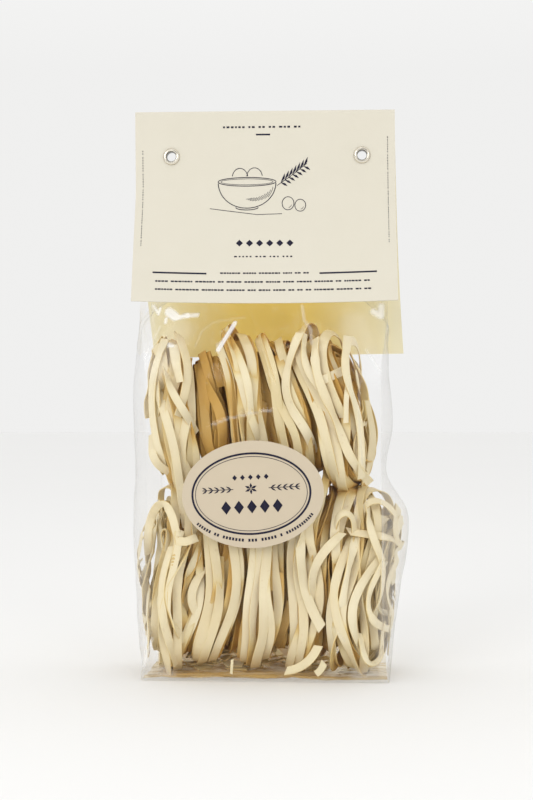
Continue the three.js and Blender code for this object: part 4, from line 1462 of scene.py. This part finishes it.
for k in range(RIM_DASHES):
    a = RIM_START + RIM_SWEEP * k / (RIM_DASHES - 1)
    if k not in RIM_GAPS:
        dash = arc(0, RING_MIDDLE, RING_WIDE + 4.6, RING_HIGH + 3.0, a, a + 1.7, 3)
        label_strokes.append(stroke(on_label, dash, 1.35))
points, faces = gathered(label_strokes)
piece("label_print", points, faces, ink, "ink")

# ---------------------------------------------------------------- studio
# A wide white floor under pale, even surroundings, with two large soft lamps in front and a small
# one above that gives the film its sparkle.

FLOOR_RADIUS = 6.0
FLOOR_SIDES = 96
paper, paper_shader, add, join = finish_nodes("white_floor", (0.885, 0.883, 0.877), 0.9)
place = add("ShaderNodeTexCoord")
drift = add("ShaderNodeTexNoise", Scale=3.0, Detail=1.0)
paper_tone = add("ShaderNodeMix", data_type="RGBA")
paper_tone.inputs["A"].default_value = (0.88, 0.878, 0.872, 1)
paper_tone.inputs["B"].default_value = (0.89, 0.888, 0.882, 1)
join(place.outputs["Object"], drift.inputs["Vector"])
join(drift.outputs["Fac"], paper_tone.inputs["Factor"])
join(paper_tone.outputs["Result"], paper_shader.inputs["Base Color"])
disc = bpy.data.meshes.new("floor")
rim = [2 * math.pi * k / FLOOR_SIDES for k in range(FLOOR_SIDES)]
rim = [(FLOOR_RADIUS * math.cos(a), FLOOR_RADIUS * math.sin(a), 0) for a in rim]
disc.from_pydata(rim, [], [tuple(range(FLOOR_SIDES))])
disc.materials.append(paper)
floor = bpy.data.objects.new("floor", disc)
bpy.context.scene.collection.objects.link(floor)

HORIZON_LIGHT = 0.87
ZENITH_LIGHT = 1.12
FRONT_SHARE = 0.42
world = bpy.data.worlds.new("studio")
world.use_nodes = True
nodes, join = world.node_tree.nodes, world.node_tree.links.new
place = nodes.new("ShaderNodeTexCoord")
split = nodes.new("ShaderNodeSeparateXYZ")
room = nodes.new("ShaderNodeMapRange")
room.inputs["From Min"].default_value = 0.2
room.inputs["From Max"].default_value = 0.6
room.inputs["To Min"].default_value = HORIZON_LIGHT
room.inputs["To Max"].default_value = ZENITH_LIGHT
ahead = nodes.new("ShaderNodeMapRange")
ahead.inputs["From Min"].default_value = -0.9
ahead.inputs["From Max"].default_value = -0.1
ahead.inputs["To Min"].default_value = FRONT_SHARE
seen = nodes.new("ShaderNodeLightPath")
share = nodes.new("ShaderNodeMath")
share.operation = "MAXIMUM"
strength = nodes.new("ShaderNodeMath")
strength.operation = "MULTIPLY"
join(place.outputs["Generated"], split.inputs[0])
join(split.outputs["Z"], room.inputs["Value"])
join(split.outputs["Y"], ahead.inputs["Value"])
join(ahead.outputs[0], share.inputs[0])
join(seen.outputs["Is Camera Ray"], share.inputs[1])
join(room.outputs[0], strength.inputs[0])
join(share.outputs[0], strength.inputs[1])
join(strength.outputs[0], nodes["Background"].inputs["Strength"])
nodes["Background"].inputs["Color"].default_value = (1, 0.998, 0.99, 1)
bpy.context.scene.world = world

for name, stand, aim, size, power, spread in (
    ("key", (-0.94, -1.8, 0.8), (0, 0, 0.13), 0.9, 5.2, 120),
    ("fill", (1.12, -1.8, 0.65), (0, 0, 0.13), 0.9, 2.8, 120),
    ("sparkle", (-0.10, -0.80, 1.05), (0, 0, 0.17), 0.16, 0.35, 180),
):
    lamp = bpy.data.lights.new(name, "AREA")
    lamp.size = size
    lamp.energy = power
    lamp.spread = math.radians(spread)
    light = bpy.data.objects.new(name, lamp)
    light.location = stand
    away = np.array(stand) - np.array(aim)
    tip = math.atan2(math.hypot(away[0], away[1]), away[2])
    light.rotation_euler = (tip, 0, math.atan2(away[0], -away[1]))
    bpy.context.scene.collection.objects.link(light)

bpy.context.scene.view_settings.view_transform = "Standard"
